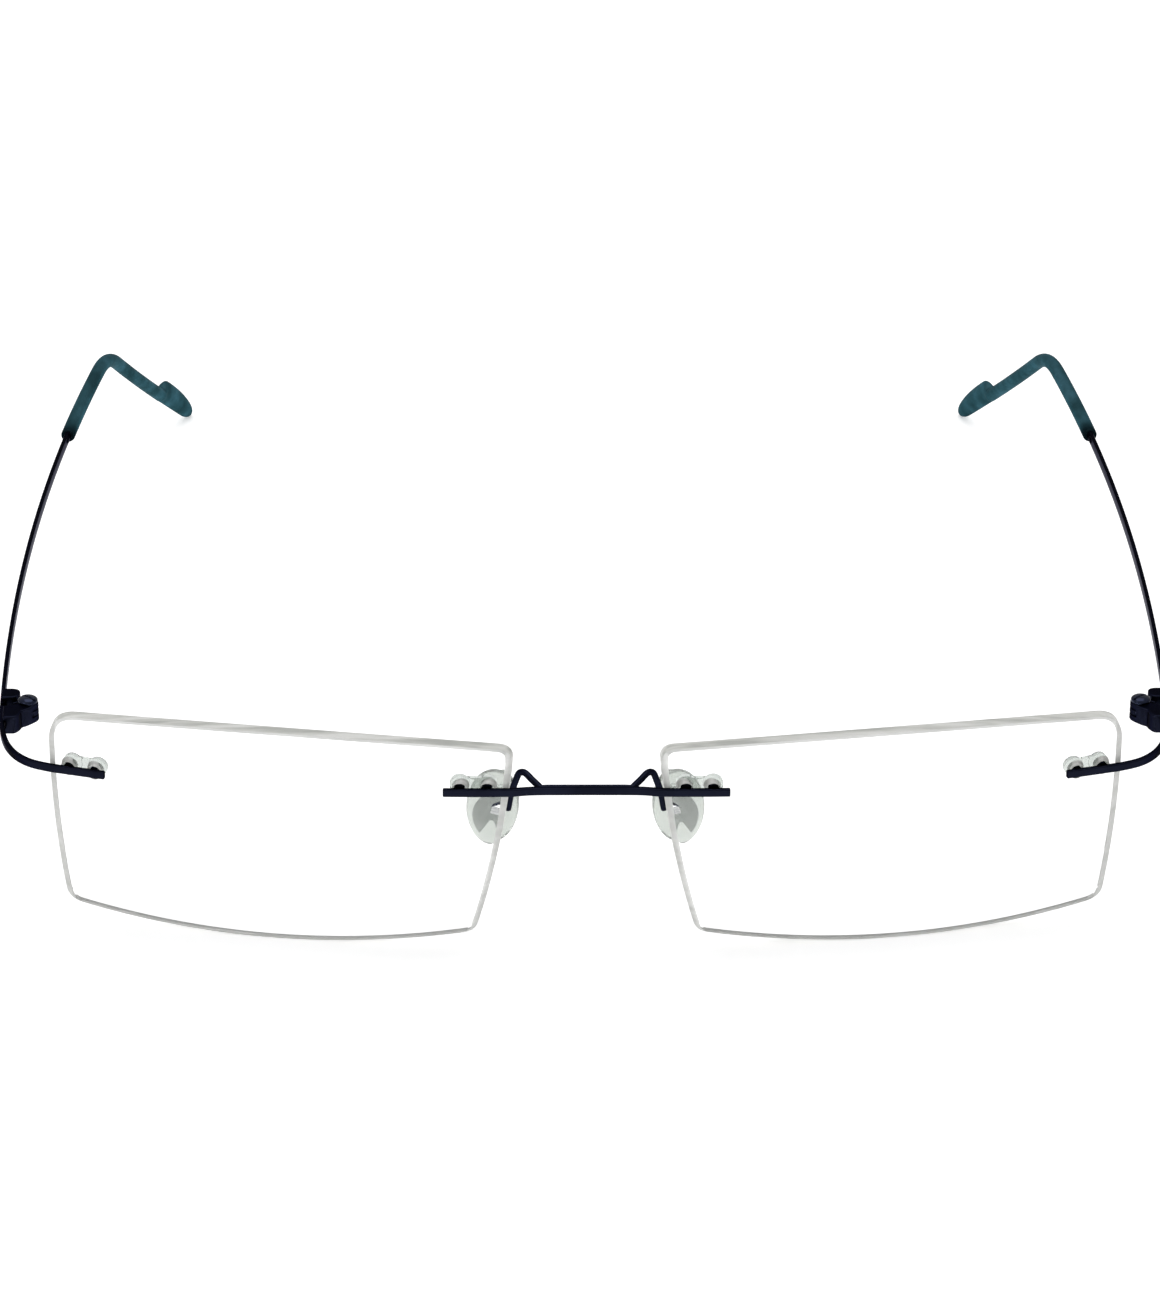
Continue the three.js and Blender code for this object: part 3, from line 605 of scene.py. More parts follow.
def strip_tree():
    """A flat strip with rounded corners that follows a line and stays upright."""
    tree, given, out = new_tree("strip_along_line", [
        ("Width", "NodeSocketFloat", 0.0005), ("Height", "NodeSocketFloat", 0.0013),
        ("Corner", "NodeSocketFloat", 0.0001), ("Material", "NodeSocketMaterial", None)])
    line = tree.nodes.new("GeometryNodeMeshToCurve")
    upright = tree.nodes.new("GeometryNodeSetCurveNormal")
    upright.mode = "Z_UP"
    section = tree.nodes.new("GeometryNodeCurvePrimitiveQuadrilateral")
    fillet = tree.nodes.new("GeometryNodeFilletCurve")
    fillet.mode = "POLY"
    fillet.inputs["Count"].default_value = 4
    sweep = tree.nodes.new("GeometryNodeCurveToMesh")
    sweep.inputs["Fill Caps"].default_value = True
    link = tree.links.new
    link(given.outputs["Geometry"], line.inputs["Mesh"])
    link(line.outputs["Curve"], upright.inputs["Curve"])
    link(given.outputs["Width"], section.inputs["Width"])
    link(given.outputs["Height"], section.inputs["Height"])
    link(section.outputs["Curve"], fillet.inputs["Curve"])
    link(given.outputs["Corner"], fillet.inputs["Radius"])
    link(upright.outputs["Curve"], sweep.inputs["Curve"])
    link(fillet.outputs["Curve"], sweep.inputs["Profile Curve"])
    end_tree(tree, sweep.outputs["Mesh"], given.outputs["Material"], out)
    return tree


def wire_tree():
    """A round wire that follows a line."""
    tree, given, out = new_tree("wire_along_line", [
        ("Radius", "NodeSocketFloat", 0.0004), ("Sides", "NodeSocketInt", 20),
        ("Material", "NodeSocketMaterial", None)])
    line = tree.nodes.new("GeometryNodeMeshToCurve")
    section = tree.nodes.new("GeometryNodeCurvePrimitiveCircle")
    sweep = tree.nodes.new("GeometryNodeCurveToMesh")
    sweep.inputs["Fill Caps"].default_value = True
    link = tree.links.new
    link(given.outputs["Geometry"], line.inputs["Mesh"])
    link(given.outputs["Radius"], section.inputs["Radius"])
    link(given.outputs["Sides"], section.inputs["Resolution"])
    link(line.outputs["Curve"], sweep.inputs["Curve"])
    link(section.outputs["Curve"], sweep.inputs["Profile Curve"])
    end_tree(tree, sweep.outputs["Mesh"], given.outputs["Material"], out)
    return tree


def pin_tree():
    """A mounting pin with a stout foot, set at each point and turned by the point's angles."""
    tree, given, out = new_tree("pins_at_points", [
        ("Foot radius", "NodeSocketFloat", 0.00062), ("Foot length", "NodeSocketFloat", 0.00066),
        ("Pin radius", "NodeSocketFloat", 0.0004), ("Pin length", "NodeSocketFloat", 0.002),
        ("Taper", "NodeSocketFloat", 0.00025), ("Material", "NodeSocketMaterial", None)])
    link = tree.links.new

    def part(kind, length, **radii):
        node = tree.nodes.new(kind)
        node.inputs["Vertices"].default_value = 28
        for socket, source in radii.items():
            link(source, node.inputs[socket.replace("_", " ")])
        link(length, node.inputs["Depth"])
        return node

    def raised(mesh, amount):
        move = tree.nodes.new("GeometryNodeTransform")
        combine = tree.nodes.new("ShaderNodeCombineXYZ")
        link(amount, combine.inputs["Z"])
        link(combine.outputs["Vector"], move.inputs["Translation"])
        link(mesh, move.inputs["Geometry"])
        return move.outputs["Geometry"]

    def maths(operation, a, b):
        node = tree.nodes.new("ShaderNodeMath")
        node.operation = operation
        for socket, value in zip(node.inputs, (a, b)):
            if isinstance(value, float):
                socket.default_value = value
            else:
                link(value, socket)
        return node.outputs["Value"]

    foot = part("GeometryNodeMeshCylinder", given.outputs["Foot length"],
                Radius=given.outputs["Foot radius"])
    cone = part("GeometryNodeMeshCone", given.outputs["Taper"], Radius_Top=given.outputs["Pin radius"],
                Radius_Bottom=given.outputs["Foot radius"])
    shank = part("GeometryNodeMeshCylinder", given.outputs["Pin length"],
                 Radius=given.outputs["Pin radius"])
    up_foot = raised(foot.outputs["Mesh"], maths("MULTIPLY", given.outputs["Foot length"], 0.5))
    up_cone = raised(cone.outputs["Mesh"], given.outputs["Foot length"])
    cone_end = maths("ADD", given.outputs["Foot length"], given.outputs["Taper"])
    half_shank = maths("MULTIPLY", given.outputs["Pin length"], 0.5)
    up_shank = raised(shank.outputs["Mesh"], maths("ADD", cone_end, half_shank))
    join = tree.nodes.new("GeometryNodeJoinGeometry")
    for mesh in (up_foot, up_cone, up_shank):
        link(mesh, join.inputs["Geometry"])
    angles = tree.nodes.new("GeometryNodeInputNamedAttribute")
    angles.data_type = "FLOAT_VECTOR"
    angles.inputs["Name"].default_value = "turn"
    to_turn = tree.nodes.new("FunctionNodeEulerToRotation")
    link(angles.outputs["Attribute"], to_turn.inputs["Euler"])
    scatter = tree.nodes.new("GeometryNodeInstanceOnPoints")
    link(given.outputs["Geometry"], scatter.inputs["Points"])
    link(join.outputs["Geometry"], scatter.inputs["Instance"])
    link(to_turn.outputs["Rotation"], scatter.inputs["Rotation"])
    end_tree(tree, scatter.outputs["Instances"], given.outputs["Material"], out)
    return tree


STRIP = strip_tree()
WIRE = wire_tree()
PINS = pin_tree()


def line_edges(count):
    return [(i, i + 1) for i in range(count - 1)]


# ---------- lenses ----------

def lens_outline(per_side=64, per_corner=14):
    w, h = LENS_WIDTH / 2, LENS_HEIGHT / 2
    corners = [(vec(0.08 - w, h - 1.27), 1.7), (vec(w - 0.14, h - 1.54), 3.0),
               (vec(w - 1.14, 1.77 - h), 1.6), (vec(4.33 - w, 2.32 - h), 1.3)]
    bulges = [TOP_BULGE, TEMPLE_BULGE, BOTTOM_BULGE, NOSE_BULGE]
    sides = []
    for i, (corner, round_here) in enumerate(corners):
        following, round_next = corners[(i + 1) % 4]
        chord = following - corner
        out = unit(vec(-chord[1], chord[0]))
        control = (corner + following) / 2 + out * 2 * bulges[i]
        dense = bezier([corner, control, following], np.linspace(0, 1, 400))
        run = np.concatenate([[0], np.cumsum(np.linalg.norm(np.diff(dense, axis=0), axis=1))])
        length = np.linalg.norm(chord)
        want = np.linspace(round_here / length, 1 - round_next / length, per_side) * run[-1]
        sides.append(np.stack([np.interp(want, run, dense[:, k]) for k in range(2)], -1))
    points = []
    for i in range(4):
        points.append(sides[i])
        arrive, leave = sides[i][-1], sides[(i + 1) % 4][0]
        corner = corners[(i + 1) % 4][0]
        points.append(bezier([arrive, corner, leave], np.linspace(0, 1, per_corner + 2)[1:-1]))
    return np.concatenate(points)


def lens_mesh():
    """Front and back faces share one flat triangulation with the four drilled holes in it."""
    outline = lens_outline()
    following = np.roll(outline, -1, 0)
    before = np.roll(outline, 1, 0)
    along = following - before
    inward = np.stack([along[:, 1], -along[:, 0]], -1)
    inward /= np.linalg.norm(inward, axis=1)[:, None]
    if (inward * -outline).sum() < 0:
        inward = -inward
    # The safety bevel is narrow along the top and bottom and wide along the two short sides.
    inner = outline + inward * (BEVEL_WIDTH + SIDE_BEVEL_MORE * inward[:, :1] ** 2)
    hole_radius = SPIGOT_RADIUS + FIT_GAP
    hole_sides = 40
    rim_margin, hole_margin = 0.95, 0.45
    # The slivers that fill a hole have their centres just short of its radius.
    in_hole = hole_radius * 0.9985
    holes = []
    for u, v in ((NOSE_U, NOSE_MOUNT_HEIGHT), (TEMPLE_U, TEMPLE_MOUNT_HEIGHT)):
        for side in (-1, 1):
            holes.append(circle_section(hole_radius, hole_sides) + vec(u + side * PIN_SPACING / 2, v))
    flat = [inner]
    edges = [(i, (i + 1) % len(inner)) for i in range(len(inner))]
    base = len(inner)
    for hole in holes:
        flat.append(hole)
        edges += [(base + i, base + (i + 1) % hole_sides) for i in range(hole_sides)]
        base += hole_sides
    grid_u, grid_v = np.meshgrid(np.arange(-25.5, 26, 1.0), np.arange(-13.5, 14, 1.0))
    grid = np.stack([grid_u.ravel(), grid_v.ravel()], -1)
    keep = []
    for p in grid:
        reach = np.linalg.norm(outline - p, axis=1)
        nearest = reach.argmin()
        inside = np.dot(p - outline[nearest], inward[nearest]) > rim_margin
        clear = all(np.linalg.norm(p - hole.mean(0)) > hole_radius + hole_margin for hole in holes)
        keep.append(inside and clear)
    flat.append(grid[np.array(keep)])
    flat = np.concatenate(flat)
    result = geometry.delaunay_2d_cdt([Vector(p) for p in flat], edges, [], 0, 1e-6)
    points2 = np.array([tuple(p) for p in result[0]])
    triangles = []
    for tri in result[2]:
        centre = points2[list(tri)].mean(0)
        nearest = np.linalg.norm(inner - centre, axis=1).argmin()
        if np.dot(centre - inner[nearest], inward[nearest]) < 0:
            continue
        if any(np.linalg.norm(centre - hole.mean(0)) < in_hole for hole in holes):
            continue
        triangles.append(tuple(tri))
    count = len(points2)
    number = {}
    for index, origins in enumerate(result[3]):
        for origin in origins:
            number[origin] = index

    front = lens_points(points2[:, 0], points2[:, 1], 0.0)
    back = lens_points(points2[:, 0], points2[:, 1], LENS_THICKNESS)
    rim_front = lens_points(outline[:, 0], outline[:, 1], BEVEL_DEPTH)
    rim_back = lens_points(outline[:, 0], outline[:, 1], LENS_THICKNESS - BEVEL_DEPTH)
    points = np.concatenate([front, back, rim_front, rim_back])
    faces = triangles + [tuple(count + i for i in reversed(t)) for t in triangles]
    kinds = [0] * len(faces)
    rim = 2 * count
    n = len(outline)
    for i in range(n):
        j = (i + 1) % n
        a, b = number[i], number[j]
        faces += [(a, b, rim + j, rim + i), (rim + i, rim + j, rim + n + j, rim + n + i),
                  (rim + n + i, rim + n + j, count + b, count + a)]
        kinds += [2, 1, 2]
    for k in range(len(holes)):
        start = n + k * hole_sides
        for i in range(hole_sides):
            a, b = number[start + i], number[start + (i + 1) % hole_sides]
            faces.append((a, b, count + b, count + a))
            kinds.append(1)
    return points, faces, kinds


lens_p, lens_f, lens_k = lens_mesh()
lenses = pair("lens_fine", lens_p, lens_f, [CLEAR, EDGE, BEVEL], lens_k, 30)
for side, piece in zip(SIDES, lenses):
    set_on(piece, "front", "lens", f"lens_{side}")


# ---------- bridge, end pieces and temples ----------

NOSE_BAR_END = NOSE_U + PIN_SPACING / 2 + BRIDGE_OVERHANG
TEMPLE_BAR_END = TEMPLE_U - PIN_SPACING / 2 - ENDPIECE_OVERHANG
BRIDGE_LEAVES = lens_points(-LENS_WIDTH / 2, NOSE_MOUNT_HEIGHT, BAR_CENTRE)
BRIDGE_Y = BRIDGE_LEAVES[1] + BRIDGE_SET_BACK
BRIDGE_Z = BRIDGE_LEAVES[2] + BRIDGE_RISE


def bridge_line():
    reach = NOSE_BAR_END + LENS_WIDTH / 2
    right = [lens_points(-LENS_WIDTH / 2 + reach * i / 4, NOSE_MOUNT_HEIGHT, BAR_CENTRE) for i in range(5)]
    over = [vec(BRIDGE_LEAVES[0] * share, BRIDGE_Y, BRIDGE_Z) for share in (0.7, 0.25)]
    over[0] = over[0] + (BRIDGE_LEAVES - over[0]) * 0.2
    half = right[::-1] + over
    return even(smooth_path([mirror_points(p) for p in half] + half[::-1]), 120)


def endpiece_line():
    end = JOINT - vec(0, FIT_GAP, 0)
    leave_angle = WRAP + (LENS_WIDTH / 2) / LENS_RADIUS
    across = vec(math.cos(leave_angle), math.sin(leave_angle), 0)
    leave = LENS_EDGE + across * (end[0] - LENS_EDGE[0]) * ENDPIECE_CORNER
    arrive = end + vec(-0.07, -1, 0) * (end[1] - LENS_EDGE[1]) * 0.45
    on_lens = []
    for share in (0, 0.33, 0.66):
        across_lens = TEMPLE_BAR_END + (LENS_WIDTH / 2 - TEMPLE_BAR_END) * share
        p = lens_points(across_lens, TEMPLE_MOUNT_HEIGHT, BAR_CENTRE)
        on_lens.append(vec(p[0], p[1], HINGE[2]))
    corner = bezier([LENS_EDGE, leave, arrive, end], [0, 0.15, 0.3, 0.45, 0.6, 0.8, 1])
    return even(smooth_path(on_lens + list(corner)), 110)


BEND_START = TEMPLE_STRAIGHT
TAIL_START = BEND_START + BEND_RADIUS * BEND_ANGLE
TEMPLE_END = TAIL_START + TAIL_LENGTH
TIP_START = TEMPLE_END - TIP_LENGTH
PADDLE_START = TEMPLE_END - PADDLE_LENGTH


def temple_points(s):
    s = np.asarray(s, float)
    bend = np.clip((s - BEND_START) / BEND_RADIUS, 0, BEND_ANGLE)
    tail = np.maximum(s - TAIL_START, 0)
    y = np.minimum(s, BEND_START) + BEND_RADIUS * np.sin(bend) + tail * math.cos(BEND_ANGLE)
    fall = BEND_RADIUS * (1 - np.cos(bend)) + tail * math.sin(BEND_ANGLE)
    x = JOINT[0] + TEMPLE_FLARE * s - TEMPLE_CURL * s * s
    return np.stack([x, JOINT[1] + FIT_GAP + y, HINGE[2] - fall], -1)


bar_section = rounded_section(BAR_DEPTH, BAR_HEIGHT, BAR_CORNER)
bridge_p, bridge_f = swept(bridge_line(), bar_section, BAR_END_ROUND)
bridge = build("bridge_fine", bridge_p, bridge_f, [NAVY], sharp=40)
set_on(bridge, "front", "frame", "bridge_bar")

endpiece_p, endpiece_f = swept(endpiece_line(), bar_section, BAR_END_ROUND)
endpieces = pair("endpiece_fine", endpiece_p, endpiece_f, [NAVY], sharp=40)
for side, piece in zip(SIDES, endpieces):
    set_on(piece, "front", "frame", f"endpiece_{side}")

strip_line = temple_points(np.linspace(0, TIP_START - FIT_GAP, 90))
core_line = temple_points(np.linspace(TIP_START - 1.5, PADDLE_START + 3, 60))
for side, flip in (("left", mirror_points), ("right", lambda p: p)):
    strip = run_tree(STRIP, f"temple_strip_{side}", flip(strip_line), line_edges(len(strip_line)),
                     {"Width": STRIP_THICKNESS * 0.001, "Height": STRIP_HEIGHT * 0.001,
                      "Corner": STRIP_CORNER * 0.001, "Material": NAVY}, sharp=40)
    set_on(strip, f"temple_{side}", "frame", f"temple_{side}")
    core = run_tree(WIRE, f"temple_core_{side}", flip(core_line), line_edges(len(core_line)),
                    {"Radius": CORE_RADIUS * 0.001, "Sides": 20, "Material": NAVY}, sharp=40)
    set_on(core, f"temple_{side}", "frame")


# ---------- temple tips ----------

def tip_mesh():
    """A round sleeve that flattens and spreads into the paddle."""
    mouth = np.linspace(TIP_START, TIP_START + 1.2, 8)
    sleeve = np.linspace(TIP_START + 2, PADDLE_START - 1, 70)
    paddle = TEMPLE_END - (PADDLE_LENGTH + 0.6) * np.linspace(1, 0, 76) ** 1.6
    stations = np.concatenate([mouth, sleeve, paddle])
    path = temple_points(stations)
    ahead, side, up = frames_along(path)
    sides = 48
    angle = np.arange(sides) * 2 * math.pi / sides
    rings = []
    for k, s in enumerate(stations):
        step = math.sqrt(1 - (1 - np.clip((s - PADDLE_START) / PADDLE_NOSE, 0, 1)) ** 2)
        share = np.clip((s - PADDLE_START) / PADDLE_LENGTH, 0, 1)
        # The paddle's rounded end: both edges close in on its far point.
        top_end = np.clip((share - 0.12) / 0.88, 0, 1)
        low_end = np.clip((share - 0.74) / 0.26, 0, 1)
        high = TIP_RADIUS + step * (PADDLE_HEIGHT - 2 * TIP_RADIUS)
        far = PADDLE_LEAN * step
        top = far + (high - far) * math.sqrt(max(1 - top_end ** 2.4, 0))
        bottom = far - (TIP_RADIUS + far) * math.sqrt(max(1 - low_end ** 2.2, 0))
        flat_end = np.clip((share - 0.78) / 0.22, 0, 1)
        thick = TIP_RADIUS + step * (PADDLE_THICKNESS / 2 - TIP_RADIUS)
        thick *= math.sqrt(max(1 - flat_end ** 2.6, 0)) * 0.999 + 0.001
        start = np.clip((s - TIP_START) / 0.45, 0, 1)
        rounding = 0.72 + 0.28 * math.sqrt(1 - (1 - start) ** 2)
        half = max((top - bottom) / 2, 0.01)
        a = np.cos(angle) * thick * rounding
        b = (top + bottom) / 2 + np.sin(angle) * half * rounding
        rings.append(path[k] + side[k] * a[:, None] + up[k] * b[:, None])
    return bridge_rings(rings)


def blend_mouth(piece, mirror):
    """Marks how near each point is to the tip's open mouth."""
    co = np.array([v.co for v in piece.data.vertices])
    mouth = place(mirror(temple_points(np.array([TIP_START]))))[0]
    reach = np.linalg.norm(co - mouth, axis=1) * 1000
    layer = piece.data.attributes.new("mouth", "FLOAT", "POINT")
    layer.data.foreach_set("value", (np.clip(1 - (reach - 0.6) / 3.4, 0, 1) ** 1.4).astype(np.float32))


tip_p, tip_f = tip_mesh()
tips = pair("temple_tip_fine", tip_p, tip_f, [TEAL], sharp=75)
for side, piece, flip in zip(SIDES, tips, (mirror_points, lambda p: p)):
    blend_mouth(piece, flip)
    set_on(piece, f"temple_{side}", "tip", f"temple_tip_{side}")


# ---------- mounts: pins and sleeves ----------

def euler_of(rotation):
    """Angles that stand an instance's z axis along the pin and back through the lens."""
    stand = rotation @ turn(-math.pi / 2, "X")
    return np.array((Matrix((SEAT_TURN @ stand).tolist())).to_euler("XYZ"))


def mirrored_rotation(rotation):
    flip = np.diag([-1.0, 1.0, 1.0])
    return flip @ rotation @ flip


pin_points, pin_turns, pin_nodes = [], [], []
for mount, name in ((NOSE_MOUNT, "bridge_pin"), (TEMPLE_MOUNT, "endpiece_pin")):
    for offset, where in ((-PIN_SPACING / 2, "inner"), (PIN_SPACING / 2, "outer")):
        foot = at(mount, vec(offset, SOLDER_GAP - SEAT_GAP, 0)[None])[0]
        for side in SIDES:
            rotation = mount[0] if side == "right" else mirrored_rotation(mount[0])
            pin_points.append(foot if side == "right" else mirror_points(foot))
            pin_turns.append(euler_of(rotation))
            pin_nodes.append(f"{name}_{side}_{where}")
PIN_END = LENS_THICKNESS + FLANGE_THICKNESS - PLUG_FLOOR
foot_length = PIN_FOOT_DEPTH + SEAT_GAP - SOLDER_GAP
pin_length = PIN_END - PIN_FOOT_DEPTH - PIN_TAPER
pins = run_tree(PINS, "mount_pins", pin_points, [],
                {"Foot radius": PIN_FOOT_RADIUS * 0.001, "Foot length": foot_length * 0.001,
                 "Pin radius": PIN_RADIUS * 0.001, "Pin length": pin_length * 0.001,
                 "Taper": PIN_TAPER * 0.001, "Material": NAVY},
                {"turn": pin_turns}, sharp=40)
set_on(pins, "front", "frame", *pin_nodes)


def sleeve_parts():
    """Two clear plugs with flanges, joined by a web behind the lens, in the mount's own place."""
    seat = LENS_THICKNESS + FIT_GAP
    end = LENS_THICKNESS + FLANGE_THICKNESS
    web_end = end - WEB_SET_BACK
    parts = []
    for offset in (-PIN_SPACING / 2, PIN_SPACING / 2):
        profile = [(PLUG_BORE, PLUG_MOUTH), (SPIGOT_RADIUS, PLUG_MOUTH), (SPIGOT_RADIUS, seat),
                   (FLANGE_RADIUS, seat), (FLANGE_RADIUS, end), (0, end)]
        points, faces = turned_plug(profile, PIN_END + 0.1, PLUG_BORE, 48)
        parts.append((points + vec(offset, 0, 0), faces))
    web = rounded_section(web_end - seat, WEB_HEIGHT, 0.1)
    reach = PIN_SPACING / 2 - 0.5
    line = np.stack([np.linspace(-reach, reach, 8), np.full(8, (seat + web_end) / 2), np.zeros(8)], -1)
    parts.append(swept(line, web, 0.02))
    return parts


def turned_plug(profile, bore_end, bore, count):
    """A turned plug with a blind bore from its mouth."""
    rings = []
    angle = np.arange(count) * 2 * math.pi / count

    def ring(radius, along):
        return np.stack([radius * np.cos(angle), np.full(count, along), radius * np.sin(angle)], -1)

    rings.append(ring(1e-3, bore_end))
    rings.append(ring(bore, bore_end))
    for radius, along in profile:
        rings.append(ring(max(radius, 1e-3), along))
    return bridge_rings(rings)


for mount, name in ((NOSE_MOUNT, "nasal_sleeve"), (TEMPLE_MOUNT, "temporal_sleeve")):
    sleeve_p, sleeve_f = cast(sleeve_parts(), 0.04, 16)
    sleeve_p = at(mount, sleeve_p)
    sleeves = pair(name + "_fine", sleeve_p, sleeve_f, [SLEEVE], sharp=80)
    for side, piece in zip(SIDES, sleeves):
        set_on(piece, "front", "sleeve", f"{name}_{side}")


# ---------- nose pads ----------

PAD_TURN = turn(PAD_SPLAY, "Z") @ turn(-PAD_FLARE, "Y") @ turn(PAD_LEAN, "X")
PAD_CENTRE = vec(LENS_GAP / 2 + PAD_BESIDE_GAP, BRIDGE_Y + PAD_BEHIND_BRIDGE, BRIDGE_Z - PAD_BELOW_BRIDGE)
PAD = (PAD_TURN, PAD_CENTRE)
BOX_HALF_WIDTH = LUG_THICKNESS / 2 + FIT_GAP + BOX_WALL


def pad_mesh():
    """An oval cushion, full towards the lens and nearly flat where it meets the nose."""
    half = PAD_THICKNESS / 2
    profile = []
    for k in range(15):
        a = math.pi / 2 * k / 14
        profile.append((math.sin(a), -half * math.cos(a)))
    for r, y in ((0.995, 0.12), (0.985, 0.25), (0.968, 0.4), (0.945, 0.55), (0.91, 0.7), (0.865, 0.83),
                 (0.81, 0.93), (PAD_CONTACT_SHARE, 0.99), (0.6, 1.0), (0.3, 1.0), (0.0, 1.0)):
        profile.append((r, half * y))
    count = 72
    angle = np.arange(count) * 2 * math.pi / count
    rings = []
    for r, y in profile:
        r = max(r, 1e-3)
        across = r * PAD_WIDTH / 2 * np.cos(angle)
        upward = r * PAD_LENGTH / 2 * np.sin(angle)
        rings.append(np.stack([across, np.full(count, y), upward], -1))
    points, faces = bridge_rings(rings)
    return at(PAD, points), faces


def insert_mesh():
    """Half-oval plate, slightly dished, with its tongue and its lug."""
    top = INSERT_LENGTH / 2
    outline = [vec(0, -top)]
    for a in np.linspace(0.08, math.pi - 0.08, 34):
        outline.append(vec(INSERT_DEPTH * math.sin(a), -top * math.cos(a)))
    outline.append(vec(0, top))
    outline = np.array(outline)
    centre = outline.mean(0)
    rings = []
    half = INSERT_THICKNESS / 2
    for y, inset in ((-half, 0.1), (-half * 0.6, 0.02), (0, 0), (half * 0.6, 0.02), (half, 0.1)):
        scaled = centre + (outline - centre) * (1 - inset / 2.0)
        rings.append(np.stack([scaled[:, 0], np.full(len(scaled), y), scaled[:, 1]], -1))
    plate_p, plate_f = bridge_rings(rings)
    from_middle = (plate_p[:, 0] - INSERT_DEPTH / 2) / INSERT_DEPTH * 2
    plate_p[:, 1] -= INSERT_DISH * (from_middle ** 2 + (plate_p[:, 2] / top) ** 2)
    plate_p = plate_p @ turn(-INSERT_TURN, "Y").T + vec(-INSERT_INSET, 0, -INSERT_DROP)
    lug_end = -PIVOT_DEPTH - LUG_PAST_PIVOT
    lug_left, lug_right = LUG_OFFSET - LUG_THICKNESS / 2, LUG_OFFSET + LUG_THICKNESS / 2
    lug_low, lug_high = LUG_RISE - LUG_LENGTH / 2, LUG_RISE + LUG_LENGTH / 2
    tongue = box_between(lug_left, 0.5, -half, half, lug_low, lug_high, 0.06)
    lug = box_between(lug_left, lug_right, lug_end, half, lug_low, lug_high, 0.08)
    points, faces = cast([(plate_p, plate_f), tongue, lug], 0.045, 3)
    return at(PAD, points), faces


def box_between(x0, x1, y0, y1, z0, z1, rim):
    """A small block between two corners, with rounded edges."""
    section = rounded_section(x1 - x0, z1 - z0, rim, 3)
    line = np.stack([np.full(6, (x0 + x1) / 2), np.linspace(y0, y1, 6), np.full(6, (z0 + z1) / 2)], -1)
    return swept(line, section, rim * 0.8)


pad_p, pad_f = pad_mesh()
insert_p, insert_f = insert_mesh()
inserts = pair("pad_insert_fine", insert_p, insert_f, [STEEL], sharp=80)
pads = pair("nose_pad_fine", pad_p, pad_f, [SILICONE], sharp=50)
for side, pad, insert in zip(SIDES, pads, inserts):
    set_on(pad, f"pad_{side}", "pad", f"nose_pad_{side}")
    set_on(insert, f"pad_{side}", "insert", f"pad_core_{side}")


# ---------- pad arms ----------

def arm_line():
    """Along the bridge's back, up to a peak, and down behind the lens into the pad box."""
    behind = BRIDGE_Y + BAR_DEPTH / 2 + SOLDER_GAP + ARM_RADIUS
    beside = LUG_OFFSET - BOX_HALF_WIDTH - SOLDER_GAP - ARM_RADIUS
    bottom = at(PAD, vec(beside, -PIVOT_DEPTH, LUG_RISE)[None])[0]
    top = at(PAD, vec(beside, -PIVOT_DEPTH, LUG_RISE + BOX_LENGTH / 2)[None])[0]
    start = vec(ARM_FOOT_START, behind, BRIDGE_Z - ARM_FOOT_DROP)
    end = vec(ARM_FOOT_END, behind, BRIDGE_Z - ARM_FOOT_DROP)
    peak = end + vec(*ARM_RISE)
    foot = [start, start + (end - start) * 0.5, start + (end - start) * 0.85, end]
    leg = [end + (peak - end) * share for share in (0.12, 0.45, 0.84)]
    fall = bezier([peak, (peak + top) / 2 + vec(*ARM_BOW), top], [0.1, 0.35, 0.6, 0.85])
    return even(smooth_path(foot + leg + list(fall) + [top, bottom]), 130)


arm = arm_line()
both_arms = np.concatenate([mirror_points(arm)[::-1], arm])
wire = run_tree(WIRE, "pad_arm_wire", both_arms, line_edges(len(both_arms)),
                {"Radius": ARM_RADIUS * 0.001, "Sides": 24, "Material": NAVY}, sharp=40)
set_on(wire, "front", "frame", "pad_arm_left", "pad_arm_right")


# ---------- hinges, boxes and screws ----------

def screw_head(radius, height, slot_width, slot_depth, count=64):
    """A domed head with a driver slot, standing up from its seat on z = 0."""
    rings = []
    angle = np.arange(count) * 2 * math.pi / count
    dome = [(math.cos(a), 0.2 + 0.8 * math.sin(a)) for a in np.linspace(0.12, 1.45, 22)]
    steps = [(1.0, 0.0), (1.0, 0.12)] + dome
    for r, z in steps:
        x, y = radius * r * np.cos(angle), radius * r * np.sin(angle)
        deep = np.clip((slot_width / 2 - np.abs(y)) / 0.05 + 0.5, 0, 1) * (1 if z > 0.3 else 0)
        rings.append(np.stack([x, y, z * height - deep * slot_depth], -1))
    return bridge_rings(rings)


def casting(name, node, grain_size, passes, metal):
    """Both sides of a small cast part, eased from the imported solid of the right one."""
    points, faces = cast([packed_solid(node)], grain_size, passes)
    return pair(name, points, faces, [metal], sharp=80)


hinge_front = casting("hinge_front_fine", "hinge_front_right", 0.06, 20, NAVY)
hinge_temple = casting("hinge_temple_fine", "hinge_temple_right", 0.06, 26, NAVY)
box = casting("pad_box_fine", "pad_box_right", 0.05, 5, STEEL)
pad_screw = casting("pad_screw_fine", "pad_screw_right", 0.035, 4, POLISH)

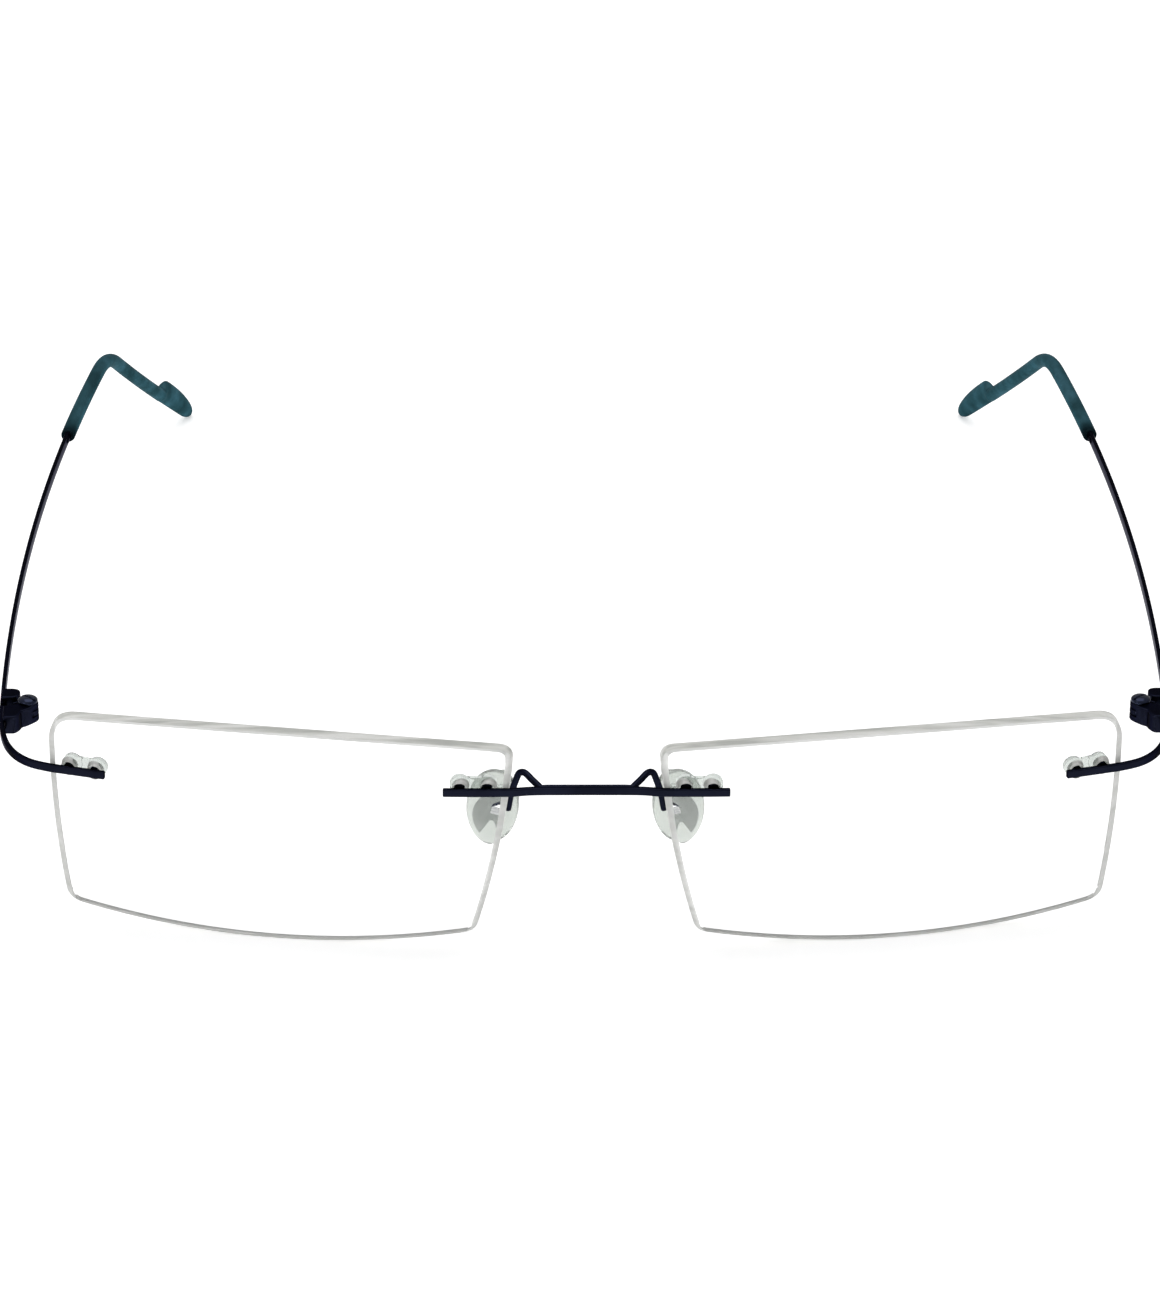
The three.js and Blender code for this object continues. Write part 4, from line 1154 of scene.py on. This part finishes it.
hinge_top = HINGE[2] + 1.5 * KNUCKLE_HEIGHT
hinge_bottom = HINGE[2] - 1.5 * KNUCKLE_HEIGHT
head_p, head_f = screw_head(SCREW_HEAD_RADIUS, SCREW_HEAD_HEIGHT, SCREW_SLOT_WIDTH, SCREW_SLOT_DEPTH)
head_p = head_p @ turn(SCREW_SLOT_TURN, "Z").T + vec(HINGE[0], HINGE[1], hinge_top + FIT_GAP)
shank_heights = np.linspace(hinge_bottom - 0.1, hinge_top + 0.12, 8)
shank_line = np.stack([np.full(8, HINGE[0]), np.full(8, HINGE[1]), shank_heights], -1)
shank = swept(shank_line, circle_section(SCREW_SHANK_RADIUS, 32), 0.06, upright=(0, 1, 0))
screw_p, screw_f = several([(head_p, head_f), shank])
hinge_screw = pair("hinge_screw_fine", screw_p, screw_f, [POLISH], sharp=50)

for i, side in enumerate(SIDES):
    set_on(hinge_front[i], "front", "frame", f"hinge_front_{side}")
    set_on(hinge_temple[i], f"temple_{side}", "frame", f"hinge_temple_{side}")
    set_on(box[i], "front", "insert", f"pad_box_{side}")
    set_on(pad_screw[i], "front", "screw", f"pad_screw_{side}")
    set_on(hinge_screw[i], "front", "screw", f"hinge_screw_{side}")


# ---------- floor, light and camera ----------

def studio():
    """A white table, a sky that is brightest overhead, and two soft lamps."""
    floor_mesh = bpy.data.meshes.new("floor")
    reach = 3.0
    floor_corners = [(-reach, -reach, 0), (reach, -reach, 0), (reach, reach, 0), (-reach, reach, 0)]
    floor_mesh.from_pydata(floor_corners, [], [(0, 1, 2, 3)])
    floor_mesh.materials.append(pale_floor())
    floor = bpy.data.objects.new("floor", floor_mesh)
    scene.collection.objects.link(floor)

    world = bpy.data.worlds.new("studio")
    scene.world = world
    world.use_nodes = True
    tree = world.node_tree
    where = add_node(tree, "ShaderNodeTexCoord")
    height = add_node(tree, "ShaderNodeSeparateXYZ")
    tree.links.new(where.outputs["Generated"], height.inputs["Vector"])
    sky = tree.nodes["Background"]
    shades(tree, height.outputs["Z"], [(0.0, (0.22, 0.22, 0.225)), (0.3, (0.45, 0.45, 0.455)),
                                       (0.75, (0.75, 0.75, 0.75))], sky.inputs["Color"])
    sky.inputs["Strength"].default_value = 1.0

    def soft_light(name, place_at, aim, size, power):
        data = bpy.data.lights.new(name, "AREA")
        data.shape = "RECTANGLE"
        data.size, data.size_y = size
        data.energy = power
        light = bpy.data.objects.new(name, data)
        light.location = place_at
        light.rotation_euler = (Vector(aim) - Vector(place_at)).to_track_quat("-Z", "Y").to_euler()
        scene.collection.objects.link(light)

    soft_light("overhead", (0.0, 0.1, 0.75), (0, 0, 0), (0.6, 0.5), 1.6)
    soft_light("front_left", (-0.55, -0.55, 0.5), (0, 0, 0.01), (0.35, 0.35), 0.7)


studio()


def camera():
    """Looks down on the glasses from in front, a little more than half a metre away."""
    tip, swing, roll = math.radians(26.92), math.radians(-0.56), math.radians(0.21)
    distance, off_right, off_up = 520.68, -0.702, 22.59
    back = vec(math.sin(swing) * math.cos(tip), -math.cos(swing) * math.cos(tip), math.sin(tip))
    forward = -back
    right = unit(np.cross(forward, vec(0, 0, 1)))
    up = np.cross(right, forward)
    right2 = right * math.cos(roll) + up * math.sin(roll)
    up2 = -right * math.sin(roll) + up * math.cos(roll)
    eye = back * distance + right2 * off_right + up2 * off_up
    data = bpy.data.cameras.new("camera")
    data.sensor_fit = "VERTICAL"
    data.sensor_height = 36.0
    data.lens = 129.9
    data.clip_start = 0.01
    data.clip_end = 20
    eye_row = place(eye[None])[0]
    axes = np.stack([SEAT_TURN @ right2, SEAT_TURN @ up2, SEAT_TURN @ back], 1)
    obj = bpy.data.objects.new("camera", data)
    matrix = Matrix(axes.tolist()).to_4x4()
    matrix.translation = Vector(eye_row)
    obj.matrix_world = matrix
    scene.collection.objects.link(obj)
    scene.camera = obj


camera()
scene.view_settings.view_transform = "Standard"
